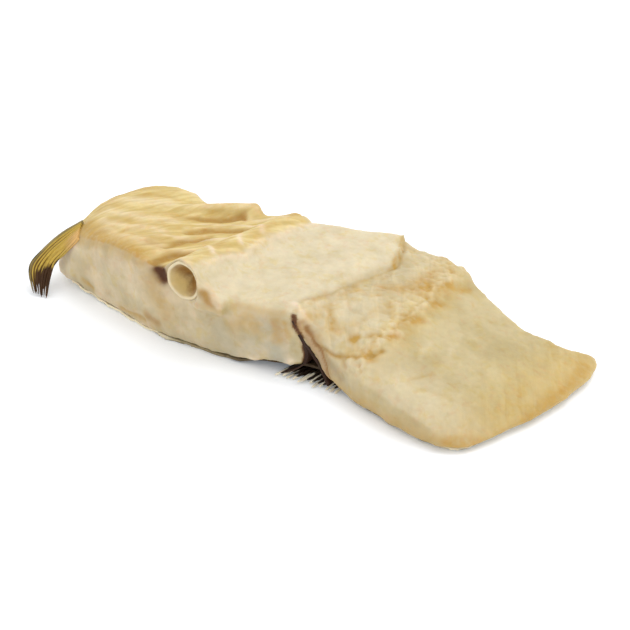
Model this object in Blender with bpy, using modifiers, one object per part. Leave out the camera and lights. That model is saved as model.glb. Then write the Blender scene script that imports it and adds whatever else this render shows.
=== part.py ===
"""A cross-cut piece of split, salted and dried cod, lying skin side down.

The piece runs across the opened fish. The flank that keeps the backbone lies at -X,
the other flank at +X, and the dorsal line, where the fish is folded open, between
them. X runs along the piece, Y from the front cut to the back cut, and Z is up.
Sizes are in millimetres here and become metres where a point is placed.
"""

import math

import bmesh
import bpy
from mathutils import Matrix, Vector, noise

MM = 0.001

# Places along the piece, from the belly edge of the near flank to that of the far one.
# Each has x, then y of the front and back cuts, the height of the underside, and the
# height of the top at the front cut, near it, in the middle and at the back cut.
STATIONS = (
    (-105.5, -53.0, -6.0, 3.2, 9.5, 17.0, 26.0, 28.5),
    (-100.5, -53.8, -4.0, 1.9, 16.0, 23.8, 31.0, 31.5),
    (-94, -54.2, -2.0, 1.4, 21.0, 28.0, 33.2, 32.8),
    (-88, -54.6, 0.0, 1.0, 26.0, 31.2, 34.4, 34.0),
    (-75, -55.2, 3.0, 0.5, 30.5, 33.5, 34.8, 34.0),
    (-58, -56.0, 2.5, 0.1, 34.0, 35.0, 34.5, 32.0),
    (-42, -56.5, 9.0, 0.0, 33.5, 34.5, 34.0, 31.0),
    (-28, -54.5, 21.0, 0.0, 31.5, 33.0, 33.5, 31.5),
    (-12, -51.5, 25.5, 0.0, 28.0, 31.0, 31.5, 30.5),
    (0, -49.0, 33.0, 0.6, 28.0, 29.5, 30.0, 29.5),
    (12, -45.5, 40.5, 2.8, 29.5, 30.0, 29.5, 29.0),
    (20, -42.5, 42.0, 4.0, 30.0, 29.5, 28.5, 28.0),
    (25.5, -40.0, 43.0, 4.4, 29.0, 28.0, 26.0, 23.5),
    (34, -36.5, 45.0, 4.0, 20.0, 25.5, 25.0, 23.5),
    (42, -37.2, 44.5, 2.4, 15.5, 23.5, 24.5, 22.5),
    (52, -39.0, 41.0, 0.2, 15.5, 21.5, 23.0, 21.5),
    (62, -40.3, 37.5, 0.0, 15.5, 19.5, 20.5, 19.0),
    (74, -41.3, 34.5, 0.0, 15.0, 17.5, 18.0, 16.5),
    (88, -41.6, 34.0, 0.0, 12.0, 15.0, 15.5, 13.5),
    (98, -40.4, 40.0, 0.2, 9.0, 11.5, 12.0, 9.5),
    (105, -38.0, 46.0, 0.4, 6.0, 8.0, 8.5, 7.5),
    (110, -35.5, 45.0, 0.6, 4.0, 5.0, 5.6, 5.0),
)
TOP_KEYS = (-1.0, -0.62, 0.0, 1.0)

# How far each end bows out along X, from the front cut to the back one.
LEFT_BOW = ((-1.0, 0.0), (-0.4, 0.8), (0.4, 3.2), (1.0, 6.5))
RIGHT_BOW = ((-1.0, -5.0), (-0.75, -2.8), (-0.4, 0.8), (0.0, 4.0), (0.5, 4.4), (1.0, 1.6))
BOW_REACH = 26.0

# The edges on top are rounder than those below, and the cells crowd towards both.
FLESH_CELLS = (58, 20, 5)
TOP_SQUARENESS = 10.0
BOTTOM_SQUARENESS = 26.0
CELL_CROWDING = 1.3

SKIN_THICKNESS = 1.0
SKIN_CELLS = (42, 12, 1)
TOUCH_GAP = 0.35

# The dorsal line, where the two flanks meet, and the gap that opens below it.
DORSAL_X = 25.5
CLEFT_FRONT_END = -17.0
CLEFT_BACK_START = 28.0
CLEFT_BACK_SCALE = 0.5
PAST_THE_CUTS = 60.0
CLEFT_OUTLINE = (
    (24.2, 26.8),
    (27.6, 20.6),
    (30.6, 15.2),
    (34.6, 9.0),
    (39.0, 2.6),
    (41.5, -6.0),
    (15.0, -6.0),
    (19.0, 1.0),
    (24.6, 3.8),
    (28.4, 7.6),
    (29.4, 12.0),
    (28.0, 17.0),
    (25.4, 22.0),
)

# The near flank stands a step above the far one behind this corner: x against y.
STEP_CORNER = ((18.0, 26.0), (22.0, 25.5), (30.0, 21.5), (40.0, 15.5), (45.0, 12.0))
STEP_HEIGHT = 4.6

# The haemal spines fan over the near flank from the backbone towards the belly.
SPINE_HEADING = math.radians(222)
SPINE_PITCH = 10.4
SPINE_PHASE = 6.5
SPINE_HEIGHT = 1.6

# The rough band on the far flank, where the backbone was cut away.
SEPTUM_LINE = ((-50, 59.0), (-15, 57.0), (13, 51.0), (42, 45.0))
SEPTUM_HALF_WIDTH = 9.0

# The backbone: hourglass bones in a row, from the front cut to the back one.
BONE_COUNT = 5
BONE_RIM = 8.2
BONE_WAIST = 6.6
BONE_HOLLOW = 6.5
BONE_WALL = 1.1
BONE_STEPS = 24
COLUMN_FRONT = Vector((-21.0, -54.2, 32.0))
COLUMN_BACK = Vector((-24.0, 19.0, 24.4))
BONE_LENGTH = (COLUMN_BACK - COLUMN_FRONT).length / BONE_COUNT
BLOOD_POCKET = ((-33.0, -53.5, 32.6), (4.0, 7.0, 3.0))

# A roll of dried membrane that lies across the near flank with one free tip.
ROLL_PATH = (
    (-78.0, -22.0, 30.0),
    (-66.0, -17.5, 32.3),
    (-57.0, -10.8, 33.4),
    (-47.0, -3.2, 34.2),
    (-37.2, 5.6, 34.8),
)
ROLL_RADII = (3.0, 3.4, 3.5, 3.4, 3.1)

# The anal fin at the belly edge of the near flank, bent down to the board: the places
# that its front ray and its back ray pass through, from the root to the tip.
ANAL_RAYS = 6
ANAL_CELLS = (ANAL_RAYS * 3, 14, 1)
ANAL_FRONT_RAY = (
    Vector((-90.0, -50.5, 29.0)),
    Vector((-94.0, -56.2, 21.0)),
    Vector((-98.2, -57.6, 13.4)),
    Vector((-96.6, -62.0, 7.4)),
    Vector((-93.1, -68.4, 0.9)),
)
ANAL_BACK_RAY = (
    Vector((-95.5, -40.0, 29.6)),
    Vector((-101.4, -49.0, 24.0)),
    Vector((-106.4, -56.5, 17.4)),
    Vector((-108.8, -64.5, 8.4)),
    Vector((-99.6, -70.6, 0.9)),
)
FIN_WEB = 0.9
FIN_RAY = 2.0

# The dorsal fin, pressed flat under the dorsal line with its ray tips at the front.
DORSAL_RAYS = 7
DORSAL_CELLS = (DORSAL_RAYS * 3, 6, 1)
DORSAL_SPAN = (17.0, 42.0)
DORSAL_LENGTH = 24.0
DORSAL_TIP_Y = (-47.5, -39.5)

COLOURS = {
    "flesh": ((0.69, 0.58, 0.33), 0.55),
    "skin": ((0.16, 0.13, 0.08), 0.45),
    "backbone": ((0.74, 0.62, 0.36), 0.5),
    "anal_fin": ((0.37, 0.29, 0.14), 0.5),
    "dorsal_fin": ((0.55, 0.47, 0.30), 0.5),
}


def smoothstep(low, high, value):
    """0 below low, 1 above high, and an even S curve between them."""
    t = min(max((value - low) / (high - low), 0.0), 1.0)
    return t * t * (3.0 - 2.0 * t)


def bump(distance, half_width):
    """1 in the middle and 0 past half_width to either side."""
    return 1.0 - smoothstep(0.0, half_width, abs(distance))


def mix(first, second, share):
    """The value that lies share of the way from first to second."""
    return first + (second - first) * share


def through(keys, values, at):
    """A smooth curve through the values at the keys, held level past both ends."""
    if at <= keys[0]:
        return values[0]
    if at >= keys[-1]:
        return values[-1]
    i = max(k for k in range(len(keys) - 1) if keys[k] <= at)
    slopes = []
    for k in (i, i + 1):
        before, after = max(k - 1, 0), min(k + 1, len(keys) - 1)
        slopes.append((values[after] - values[before]) / (keys[after] - keys[before]))
    step = keys[i + 1] - keys[i]
    t = (at - keys[i]) / step
    rise = values[i + 1] - values[i]
    return (
        values[i]
        + rise * t * t * (3.0 - 2.0 * t)
        + slopes[0] * step * t * (1.0 - t) ** 2
        - slopes[1] * step * t * t * (1.0 - t)
    )


def along(column, x):
    """One column of the station table, read smoothly at x."""
    return through([s[0] for s in STATIONS], [s[column] for s in STATIONS], x)


def keyed(pairs, at):
    """A smooth curve through a row of (key, value) pairs."""
    return through([p[0] for p in pairs], [p[1] for p in pairs], at)


def rough(x, y, size, seed):
    """Even noise from -1 to 1 with bumps of about the given size."""
    return noise.noise(Vector((x / size, y / size, seed * 7.3)))


def plan_point(u, v):
    """Where a share u of the length and v of the width falls, with ends and cuts bowed."""
    left, right = STATIONS[0][0], STATIONS[-1][0]
    nominal = mix(left, right, (u + 1.0) / 2.0)
    front = along(1, nominal) + 0.7 * rough(nominal, 0.0, 7.0, 1)
    back = along(2, nominal) + 1.3 * rough(nominal, 0.0, 8.0, 2)
    y = mix(front, back, (v + 1.0) / 2.0)
    x = nominal
    x += keyed(LEFT_BOW, v) * (1.0 - smoothstep(left, left + BOW_REACH, nominal))
    x += keyed(RIGHT_BOW, v) * smoothstep(right - BOW_REACH, right, nominal)
    x += 0.9 * rough(y, 0.0, 9.0, 3) * smoothstep(right - BOW_REACH, right, nominal)
    return nominal, x, y


def spine_relief(x, y):
    """Ridges over the haemal spines, strongest beside the backbone."""
    heading = Vector((math.cos(SPINE_HEADING), math.sin(SPINE_HEADING)))
    across = -x * heading.y + y * heading.x
    ridge = 0.5 + 0.5 * math.cos(2.0 * math.pi * (across - SPINE_PHASE) / SPINE_PITCH)
    near = smoothstep(-84.0, -44.0, x) * (1.0 - smoothstep(-24.0, -16.0, x))
    inside = smoothstep(-54.0, -42.0, y)
    return SPINE_HEIGHT * (ridge * ridge - 0.35) * mix(0.25, 1.0, near) * inside


def flank_relief(x, y):
    """Folds, the dorsal seam and the rough band on top of both flanks."""
    height = 0.0
    near_flank = 1.0 - smoothstep(DORSAL_X - 46.0, DORSAL_X - 34.0, x)
    height += spine_relief(x, y) * near_flank * smoothstep(-100.0, -90.0, x)
    height -= 1.0 * bump(x - DORSAL_X - 1.0, 4.0) * (1.0 - smoothstep(15.0, 24.0, y))
    past_corner = x - keyed(STEP_CORNER, y)
    lowered = smoothstep(-0.3, 1.8, past_corner) * (1.0 - smoothstep(20.0, 26.0, x))
    height -= STEP_HEIGHT * lowered * smoothstep(18.0, 24.0, y)
    band = keyed(SEPTUM_LINE, y)
    in_band = bump(x - band, SEPTUM_HALF_WIDTH) * smoothstep(DORSAL_X, DORSAL_X + 12.0, x)
    height += in_band * (0.5 + 1.5 * rough(x, y, 6.5, 5))
    dorsal_part = smoothstep(DORSAL_X, DORSAL_X + 8.0, x) * (1.0 - smoothstep(band, band + 5.0, x))
    height += dorsal_part * (0.8 + 0.9 * rough(x, y, 9.0, 6))
    height += 0.35 * rough(x, y, 12.0, 4)
    return height


def skin_bottom(x):
    """Height of the skin's lower side, which lies flat on the board where it rests."""
    return max(along(3, x), 0.0)


def crowd(t):
    """Moves a share from -1 to 1 so that even steps crowd towards both ends."""
    return math.copysign(1.0 - (1.0 - abs(t)) ** CELL_CROWDING, t)


def squared_off(u, v, w):
    """Pulls a point of the cube in so that its edges and corners are round."""
    squareness = mix(BOTTOM_SQUARENESS, TOP_SQUARENESS, smoothstep(-0.5, 0.5, w))
    reach = max(abs(u), abs(v), abs(w))
    total = sum(abs(c) ** squareness for c in (u, v, w)) ** (1.0 / squareness)
    share = reach / total if total else 1.0
    return u * share, v * share, w * share


def flesh_place(u, v, w):
    """Place of one lattice point of the flesh."""
    u, v, w = squared_off(crowd(u), crowd(v), w)
    nominal, x, y = plan_point(u, v)
    top = through(TOP_KEYS, [along(column, nominal) for column in (4, 5, 6, 7)], v)
    inside = (1.0 - smoothstep(0.86, 1.0, abs(v))) * (1.0 - smoothstep(0.9, 1.0, abs(u)))
    top += flank_relief(x, y) * mix(0.25, 1.0, inside)
    underside = skin_bottom(nominal) + SKIN_THICKNESS + TOUCH_GAP
    z = mix(underside, top, (w + 1.0) / 2.0)
    wall = (1.0 - w * w) * smoothstep(0.8, 1.0, abs(v))
    y += 0.8 * rough(x, z, 8.0, 8) * wall
    return Vector((x, y, z))


def skin_place(u, v, w):
    """Place of one lattice point of the skin, a thin sheet under the flesh."""
    u, v = squared_off(crowd(u), crowd(v), -1.0)[:2]
    nominal, x, y = plan_point(u, v)
    at_edge = smoothstep(0.85, 1.0, abs(v))
    y += (0.2 + 1.1 * rough(x, y, 6.0, 9)) * at_edge * math.copysign(1.0, v)
    return Vector((x, y, skin_bottom(nominal) + SKIN_THICKNESS * (w + 1.0) / 2.0))


def fin_thickness(share, rays):
    """Full thickness of a fin across its rays: thin web, thick rays."""
    ridge = 0.5 - 0.5 * math.cos(2.0 * math.pi * share * rays)
    return mix(FIN_WEB, FIN_RAY, ridge), ridge


def anal_ray(share, length):
    """The middle line of the anal fin: share goes across its rays, length along them."""
    places = [a.lerp(b, share) for a, b in zip(ANAL_FRONT_RAY, ANAL_BACK_RAY)]
    return through([i / (len(places) - 1) for i in range(len(places))], places, length)


def anal_fin_place(u, v, w):
    """Place of one lattice point of the anal fin: u across its rays, v along them."""
    share, length = (u + 1.0) / 2.0, (v + 1.0) / 2.0
    thick, ridge = fin_thickness(share, ANAL_RAYS)
    length *= mix(0.93, 1.0, ridge)
    onward = anal_ray(share, length + 0.02) - anal_ray(share, length - 0.02)
    sideways = anal_ray(1.0, length) - anal_ray(0.0, length)
    outward = onward.cross(sideways).normalized()
    thick *= mix(1.0, 0.6, smoothstep(0.6, 1.0, length))
    return anal_ray(share, length) - outward * thick * w / 2.0


def dorsal_fin_place(u, v, w):
    """Place of one lattice point of the dorsal fin, which lies flat on the board."""
    share, length = (u + 1.0) / 2.0, (v + 1.0) / 2.0
    thick, ridge = fin_thickness(share, DORSAL_RAYS)
    tip = mix(*DORSAL_TIP_Y, share)
    x = mix(*DORSAL_SPAN, share)
    y = mix(tip + DORSAL_LENGTH, tip + 4.5 * (1.0 - ridge), length)
    x -= 2.5 * length
    thick *= mix(1.0, 0.6, smoothstep(0.5, 1.0, length))
    return Vector((x, y, thick * (w + 1.0) / 2.0))


def material(name):
    """The plain material of one sub-part."""
    colour, roughness = COLOURS[name]
    made = bpy.data.materials.new(name)
    made.use_nodes = True
    shader = made.node_tree.nodes["Principled BSDF"]
    shader.inputs["Base Color"].default_value = (*colour, 1.0)
    shader.inputs["Roughness"].default_value = roughness
    shader.inputs["Metallic"].default_value = 0.0
    return made


def add_object(name, mesh, collection):
    """Links a mesh into a collection as an object of that name."""
    made = bpy.data.objects.new(name, mesh)
    collection.objects.link(made)
    return made


def lattice(name, cells, place, collection):
    """A cube cut into cells along each axis, with each of its points put in place."""
    form = bmesh.new()
    bmesh.ops.create_cube(form, size=2.0)
    for axis, count in enumerate(cells):
        if count < 2:
            continue
        lengthwise = [
            e for e in form.edges
            if abs(abs(e.verts[0].co[axis] - e.verts[1].co[axis]) - 2.0) < 1e-6
        ]
        bmesh.ops.subdivide_edges(form, edges=lengthwise, cuts=count - 1, use_grid_fill=True)
    for vert in form.verts:
        vert.co = place(*vert.co) * MM
    if form.calc_volume(signed=True) < 0.0:
        bmesh.ops.reverse_faces(form, faces=form.faces)
    mesh = bpy.data.meshes.new(name)
    form.to_mesh(mesh)
    form.free()
    return add_object(name, mesh, collection)


def as_mesh(source, name, collection):
    """A curve or modified object made a closed mesh object, with the source removed."""
    graph = bpy.context.evaluated_depsgraph_get()
    mesh = bpy.data.meshes.new_from_object(source.evaluated_get(graph))
    form = bmesh.new()
    form.from_mesh(mesh)
    bmesh.ops.remove_doubles(form, verts=form.verts, dist=0.01 * MM)
    bmesh.ops.recalc_face_normals(form, faces=form.faces)
    form.to_mesh(mesh)
    form.free()
    made = add_object(name, mesh, collection)
    made.matrix_world = source.matrix_world
    bpy.data.objects.remove(source)
    return made


def cut(target, cutter, operation="DIFFERENCE"):
    """A Boolean modifier with the exact solver."""
    modifier = target.modifiers.new(cutter.name, "BOOLEAN")
    modifier.operation = operation
    modifier.object = cutter
    modifier.solver = "EXACT"


def apply_modifiers(target):
    """Replaces an object's mesh by its evaluated one."""
    bpy.context.view_layer.update()
    graph = bpy.context.evaluated_depsgraph_get()
    mesh = bpy.data.meshes.new_from_object(target.evaluated_get(graph))
    mesh.name = target.name
    target.modifiers.clear()
    target.data = mesh


def make_cleft(name, front_y, back_y, scale, collection):
    """The gap under the dorsal line as a cutter, from a flat outline stood upright."""
    depth = back_y - front_y
    outline = bpy.data.curves.new(name, "CURVE")
    outline.dimensions = "2D"
    outline.fill_mode = "BOTH"
    outline.extrude = depth / 2.0 * MM
    spline = outline.splines.new("POLY")
    spline.points.add(len(CLEFT_OUTLINE) - 1)
    for point, (x, z) in zip(spline.points, CLEFT_OUTLINE):
        x = DORSAL_X + (x - DORSAL_X) * mix(1.0, scale, 0.6)
        point.co = (x * MM, z * scale * MM, 0.0, 1.0)
    spline.use_cyclic_u = True
    made = add_object(name, outline, collection)
    made.rotation_euler.x = math.radians(90)
    made.location.y = (front_y + depth / 2.0) * MM
    bpy.context.view_layer.update()
    return as_mesh(made, name, collection)


def column_profile():
    """Radius and distance from the front end, along the outside of the bones."""
    points = [(0.0, BONE_HOLLOW), (BONE_RIM - BONE_WALL, 0.3)]
    for bone in range(BONE_COUNT):
        start = bone * BONE_LENGTH
        points.append((BONE_RIM, start + 0.3))
        points.append((BONE_RIM - 0.2, start + 1.8))
        points.append((BONE_WAIST, start + BONE_LENGTH * 0.35))
        points.append((BONE_WAIST, start + BONE_LENGTH * 0.65))
        points.append((BONE_RIM - 0.2, start + BONE_LENGTH - 2.0))
    whole = BONE_COUNT * BONE_LENGTH
    points += [(BONE_RIM, whole - 0.5), (BONE_RIM - BONE_WALL, whole - 0.5)]
    points.append((0.0, whole - BONE_HOLLOW))
    return points


def make_backbone(name, swell, collection):
    """The row of bones, turned about its axis; swell makes it stouter as a cutter."""
    form = bmesh.new()
    profile = column_profile()
    if swell:
        stout = BONE_RIM + swell
        past = BONE_COUNT * BONE_LENGTH + 12.0
        profile = [(0.0, -12.0), (stout, -12.0), (stout, past), (0.0, past)]
    previous = None
    for radius, distance in profile:
        vert = form.verts.new((radius * MM, 0.0, -distance * MM))
        if previous:
            form.edges.new((previous, vert))
        previous = vert
    mesh = bpy.data.meshes.new(name)
    form.to_mesh(mesh)
    form.free()
    turned = add_object(name + "_profile", mesh, collection)
    screw = turned.modifiers.new("turn", "SCREW")
    screw.axis = "Z"
    screw.steps = screw.render_steps = BONE_STEPS
    screw.use_merge_vertices = True
    screw.merge_threshold = 0.00001
    bpy.context.view_layer.update()
    made = as_mesh(turned, name, collection)
    direction = COLUMN_FRONT - COLUMN_BACK
    lay_down = direction.to_track_quat("Z", "X").to_matrix().to_4x4()
    made.data.transform(Matrix.Translation(COLUMN_FRONT * MM) @ lay_down)
    return made


def make_roll(name, collection):
    """The roll of membrane as a tapered tube."""
    path = bpy.data.curves.new(name, "CURVE")
    path.dimensions = "3D"
    path.bevel_depth = 1.0 * MM
    path.bevel_resolution = 2
    path.use_fill_caps = True
    path.resolution_u = 5
    spline = path.splines.new("NURBS")
    spline.points.add(len(ROLL_PATH) - 1)
    for point, place, radius in zip(spline.points, ROLL_PATH, ROLL_RADII):
        point.co = (*(c * MM for c in place), 1.0)
        point.radius = radius
    spline.use_endpoint_u = True
    spline.order_u = 4
    made = add_object(name, path, collection)
    bpy.context.view_layer.update()
    return as_mesh(made, name, collection)


def make_pocket(name, collection):
    """The blood pocket beside the first bone, as a cutter."""
    place, half_sizes = BLOOD_POCKET
    form = bmesh.new()
    bmesh.ops.create_uvsphere(form, u_segments=12, v_segments=8, radius=1.0)
    for vert in form.verts:
        vert.co = Vector(p + h * c for p, h, c in zip(place, half_sizes, vert.co)) * MM
    mesh = bpy.data.meshes.new(name)
    form.to_mesh(mesh)
    form.free()
    return add_object(name, mesh, collection)


def centre_on_origin(parts):
    """Moves every part so that the piece stands on the origin by the middle of its base."""
    corners = [v.co for part in parts for v in part.data.vertices]
    low = Vector(min(c[i] for c in corners) for i in range(3))
    high = Vector(max(c[i] for c in corners) for i in range(3))
    shift = Vector((-(low.x + high.x) / 2.0, -(low.y + high.y) / 2.0, -low.z))
    for part in parts:
        part.data.transform(Matrix.Translation(shift))


def main():
    """Builds the piece: flesh, skin, backbone and two fins."""
    for old in list(bpy.data.objects):
        bpy.data.objects.remove(old)
    scene = bpy.context.scene.collection
    piece = bpy.data.collections.new("salted_cod")
    cutters = bpy.data.collections.new("cutters")
    scene.children.link(piece)
    scene.children.link(cutters)

    flesh = lattice("flesh", FLESH_CELLS, flesh_place, piece)
    roll = make_roll("membrane_roll", cutters)
    trough = make_backbone("backbone_trough", TOUCH_GAP, cutters)
    front = make_cleft("cleft_front", -PAST_THE_CUTS, CLEFT_FRONT_END, 1.0, cutters)
    back = make_cleft("cleft_back", CLEFT_BACK_START, PAST_THE_CUTS, CLEFT_BACK_SCALE, cutters)
    pocket = make_pocket("blood_pocket", cutters)
    cut(flesh, roll, "UNION")
    for cutter in (trough, front, back, pocket):
        cut(flesh, cutter)
    apply_modifiers(flesh)
    for helper in (roll, trough, front, back, pocket):
        bpy.data.objects.remove(helper)
    bpy.data.collections.remove(cutters)

    skin = lattice("skin", SKIN_CELLS, skin_place, piece)
    backbone = make_backbone("backbone", 0.0, piece)
    anal_fin = lattice("anal_fin", ANAL_CELLS, anal_fin_place, piece)
    dorsal_fin = lattice("dorsal_fin", DORSAL_CELLS, dorsal_fin_place, piece)

    parts = (flesh, skin, backbone, anal_fin, dorsal_fin)
    for part in parts:
        part.data.materials.clear()
        part.data.materials.append(material(part.name))
        part.data.shade_smooth()
        part.data.set_sharp_from_angle(angle=math.radians(50))
    centre_on_origin(parts)


main()
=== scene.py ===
"""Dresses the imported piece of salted, dried cod: flesh, skin, backbone and two fins.

Shapes are worked out in measuring millimetres: X along the piece, Y from the front cut
to the back cut, Z up, from the point on the board that the camera looks at. Each piece
becomes metres in the row frame when its mesh is written.
"""

import logging
import math
from dataclasses import dataclass, field
from enum import Enum
from typing import Any, Optional, Sequence

import bmesh
import bpy
import numpy as np
from mathutils import Matrix, Vector, noise


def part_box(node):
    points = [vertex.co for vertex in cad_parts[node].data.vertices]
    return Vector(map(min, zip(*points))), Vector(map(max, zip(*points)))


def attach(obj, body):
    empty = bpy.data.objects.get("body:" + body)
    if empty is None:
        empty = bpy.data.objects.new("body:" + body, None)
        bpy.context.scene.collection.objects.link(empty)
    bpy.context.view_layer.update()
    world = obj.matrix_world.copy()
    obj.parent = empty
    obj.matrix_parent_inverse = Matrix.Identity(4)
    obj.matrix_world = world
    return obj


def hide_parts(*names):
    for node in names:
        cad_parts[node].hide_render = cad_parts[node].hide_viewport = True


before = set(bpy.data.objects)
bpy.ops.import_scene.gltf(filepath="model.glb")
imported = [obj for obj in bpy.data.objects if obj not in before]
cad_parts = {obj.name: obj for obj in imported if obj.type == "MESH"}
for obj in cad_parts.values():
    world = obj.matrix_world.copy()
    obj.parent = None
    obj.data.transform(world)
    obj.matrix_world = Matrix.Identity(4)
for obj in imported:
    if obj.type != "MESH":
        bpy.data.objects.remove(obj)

log = logging.getLogger("salted_cod")

MM = 0.001
BODY = "root"
# The directions in which the folds of membrane and the flakes of muscle run.
SPINE_HEADING = math.radians(240)
FLAKE_HEADING = math.radians(132)
# How far points of the CAD's loose triangles may lie apart and still be one.
MERGE_DISTANCE = 0.02 * MM

Path = Sequence[Sequence[float]]
Colour = tuple[float, float, float]
NO_TINT: Colour = (1.0, 1.0, 1.0)


@dataclass(frozen=True)
class Datum:
    """Ties measuring millimetres to the row frame by the backbone's own corner."""

    backbone_corner: tuple[float, float, float] = (-32.172, -54.806, 16.295)

    @property
    def origin(self) -> np.ndarray:
        """The measuring origin, in metres of the row frame."""
        low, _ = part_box("backbone")
        start = np.array(low) - np.array(self.backbone_corner) * MM
        return np.array((start[0], start[1], 0.0))

    def to_row(self, places: np.ndarray) -> np.ndarray:
        """Metres in the row frame from measuring millimetres."""
        return places * MM + self.origin

    def from_row(self, places: np.ndarray) -> np.ndarray:
        """Measuring millimetres from metres in the row frame."""
        return (places - self.origin) / MM


DATUM = Datum()


def ease(low: float, high: float, value: np.ndarray) -> np.ndarray:
    """0 below low, 1 above high and an even S curve between them.

    Args:
        low: Where the curve leaves 0.
        high: Where it reaches 1. It may lie below low, which turns the curve round.
        value: The numbers to read it at.

    Returns:
        One share for each number.
    """
    share = np.clip((value - low) / (high - low), 0.0, 1.0)
    return share * share * (3.0 - 2.0 * share)


def keyed(pairs: Path, at: np.ndarray) -> np.ndarray:
    """Reads a row of (key, value) pairs at the given keys.

    Args:
        pairs: Keys in rising order, each with its value.
        at: The keys to read.

    Returns:
        One value for each key, straight between pairs and level past both ends.
    """
    table = np.array(pairs, float)
    return np.interp(at, table[:, 0], table[:, 1])


def clouds(places: np.ndarray, size: float | Sequence[float], seed: int,
           octaves: float = 2.0) -> np.ndarray:
    """Fractal noise from about -1 to 1.

    Args:
        places: Points, one row each.
        size: Width of the largest bumps, one number or one for each axis.
        seed: Which field of noise to read.
        octaves: How many finer layers it has.

    Returns:
        One number for each point.
    """
    scaled = places / np.array(size, float)
    shifted = scaled + np.array((17.3, 5.1, 9.7)) * seed
    values = (noise.fractal(Vector(p), 0.9, 2.0, octaves) for p in shifted)
    return np.fromiter(values, float, len(places))


def from_path(points: np.ndarray, path: Path) -> tuple[np.ndarray, np.ndarray]:
    """How far points lie from a path, and how far along it.

    Args:
        points: Points, one row each.
        path: Corners of the path with as many axes as the points, or a single place.

    Returns:
        The distance of each point, and its share of the way along the path.
    """
    corners = np.array(path, float)
    if len(corners) == 1:
        return np.linalg.norm(points - corners[0], axis=1), np.full(len(points), 0.5)
    lengths = np.linalg.norm(np.diff(corners, axis=0), axis=1)
    starts = np.concatenate(([0.0], np.cumsum(lengths)))
    nearest = np.full(len(points), np.inf)
    share = np.zeros(len(points))
    for start, end, before, length in zip(corners, corners[1:], starts, lengths):
        step = (end - start) / length
        along = np.clip((points - start) @ step, 0.0, length)
        away = np.linalg.norm(points - start - along[:, None] * step, axis=1)
        closer = away < nearest
        nearest = np.where(closer, away, nearest)
        share = np.where(closer, (before + along) / starts[-1], share)
    return nearest, share


def near(points: np.ndarray, path: Path, width: float, power: int = 2) -> np.ndarray:
    """How near points lie to a path.

    Args:
        points: Points, one row each.
        path: Corners of the path.
        width: How far out the share has fallen to about a third.
        power: How steeply it falls there.

    Returns:
        One share for each point, 1 on the path and 0 well away from it.
    """
    away, _ = from_path(points, path)
    return np.exp(-((away / width) ** power))


def turned(places: np.ndarray, heading: float, sway: np.ndarray) -> np.ndarray:
    """Places seen along a heading: along it, across it and up, a little bent.

    Args:
        places: Points, one row each.
        heading: The direction that becomes the first axis, in radians.
        sway: Noise that bends the result, one row for each point.

    Returns:
        The places on the turned axes.
    """
    x, y, z = places.T
    along = x * math.cos(heading) + y * math.sin(heading)
    across = -x * math.sin(heading) + y * math.cos(heading)
    return np.stack([along, across + 1.6 * sway[:, 2], z], 1)


class Tone(Enum):
    """What a place on the flesh is tinted with; each is an attribute of its mesh. The dark tones
    also carry painted shade, and the pink and pale ones painted highlights and painted light.
    """

    MEMBRANE = "membrane"
    CUT = "cut"
    PALE = "pale"
    BLUSH = "blush"
    GREY = "grey"
    OCHRE = "ochre"
    RUST = "rust"
    BLOOD = "blood"


class Side(Enum):
    """Which way a worked surface faces: its axis, its sign and the axes drawn in."""

    TOP = (2, 1.0, (0, 1))
    FRONT = (1, -1.0, (0, 2))
    BACK = (1, 1.0, (0, 2))
    UNDER = (2, -1.0, (0, 1))
    ALL = (-1, 0.0, (0, 1, 2))

    def facing(self, normals: np.ndarray) -> np.ndarray:
        """How far each normal faces this side.

        Args:
            normals: Unit normals, one row each.

        Returns:
            One share for each normal, 1 where it faces the side or the side is ALL.
        """
        axis, sign, _ = self.value
        if axis < 0:
            return np.ones(len(normals))
        return ease(0.25, 0.65, normals[:, axis] * sign)


@dataclass(frozen=True)
class Stroke:
    """One mark worked into the flesh along a path: a push outward and some tint."""

    side: Side
    path: Path
    width: float
    height: float = 0.0
    tint: tuple[tuple[Tone, float], ...] = ()
    fade: float = 0.0

    def reach(self, at: np.ndarray, facing: np.ndarray) -> np.ndarray:
        """Strength of the mark at each point.

        Args:
            at: Points in measuring millimetres.
            facing: How far each point faces the stroke's side.

        Returns:
            One share for each point, 1 on the path and fading across it and, by the
            share named fade, towards its last corner.
        """
        away, share = from_path(at[:, self.side.value[2]], self.path)
        strength = np.exp(-((away / self.width) ** 2)) * facing
        return strength * (1.0 - self.fade * share)


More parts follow.
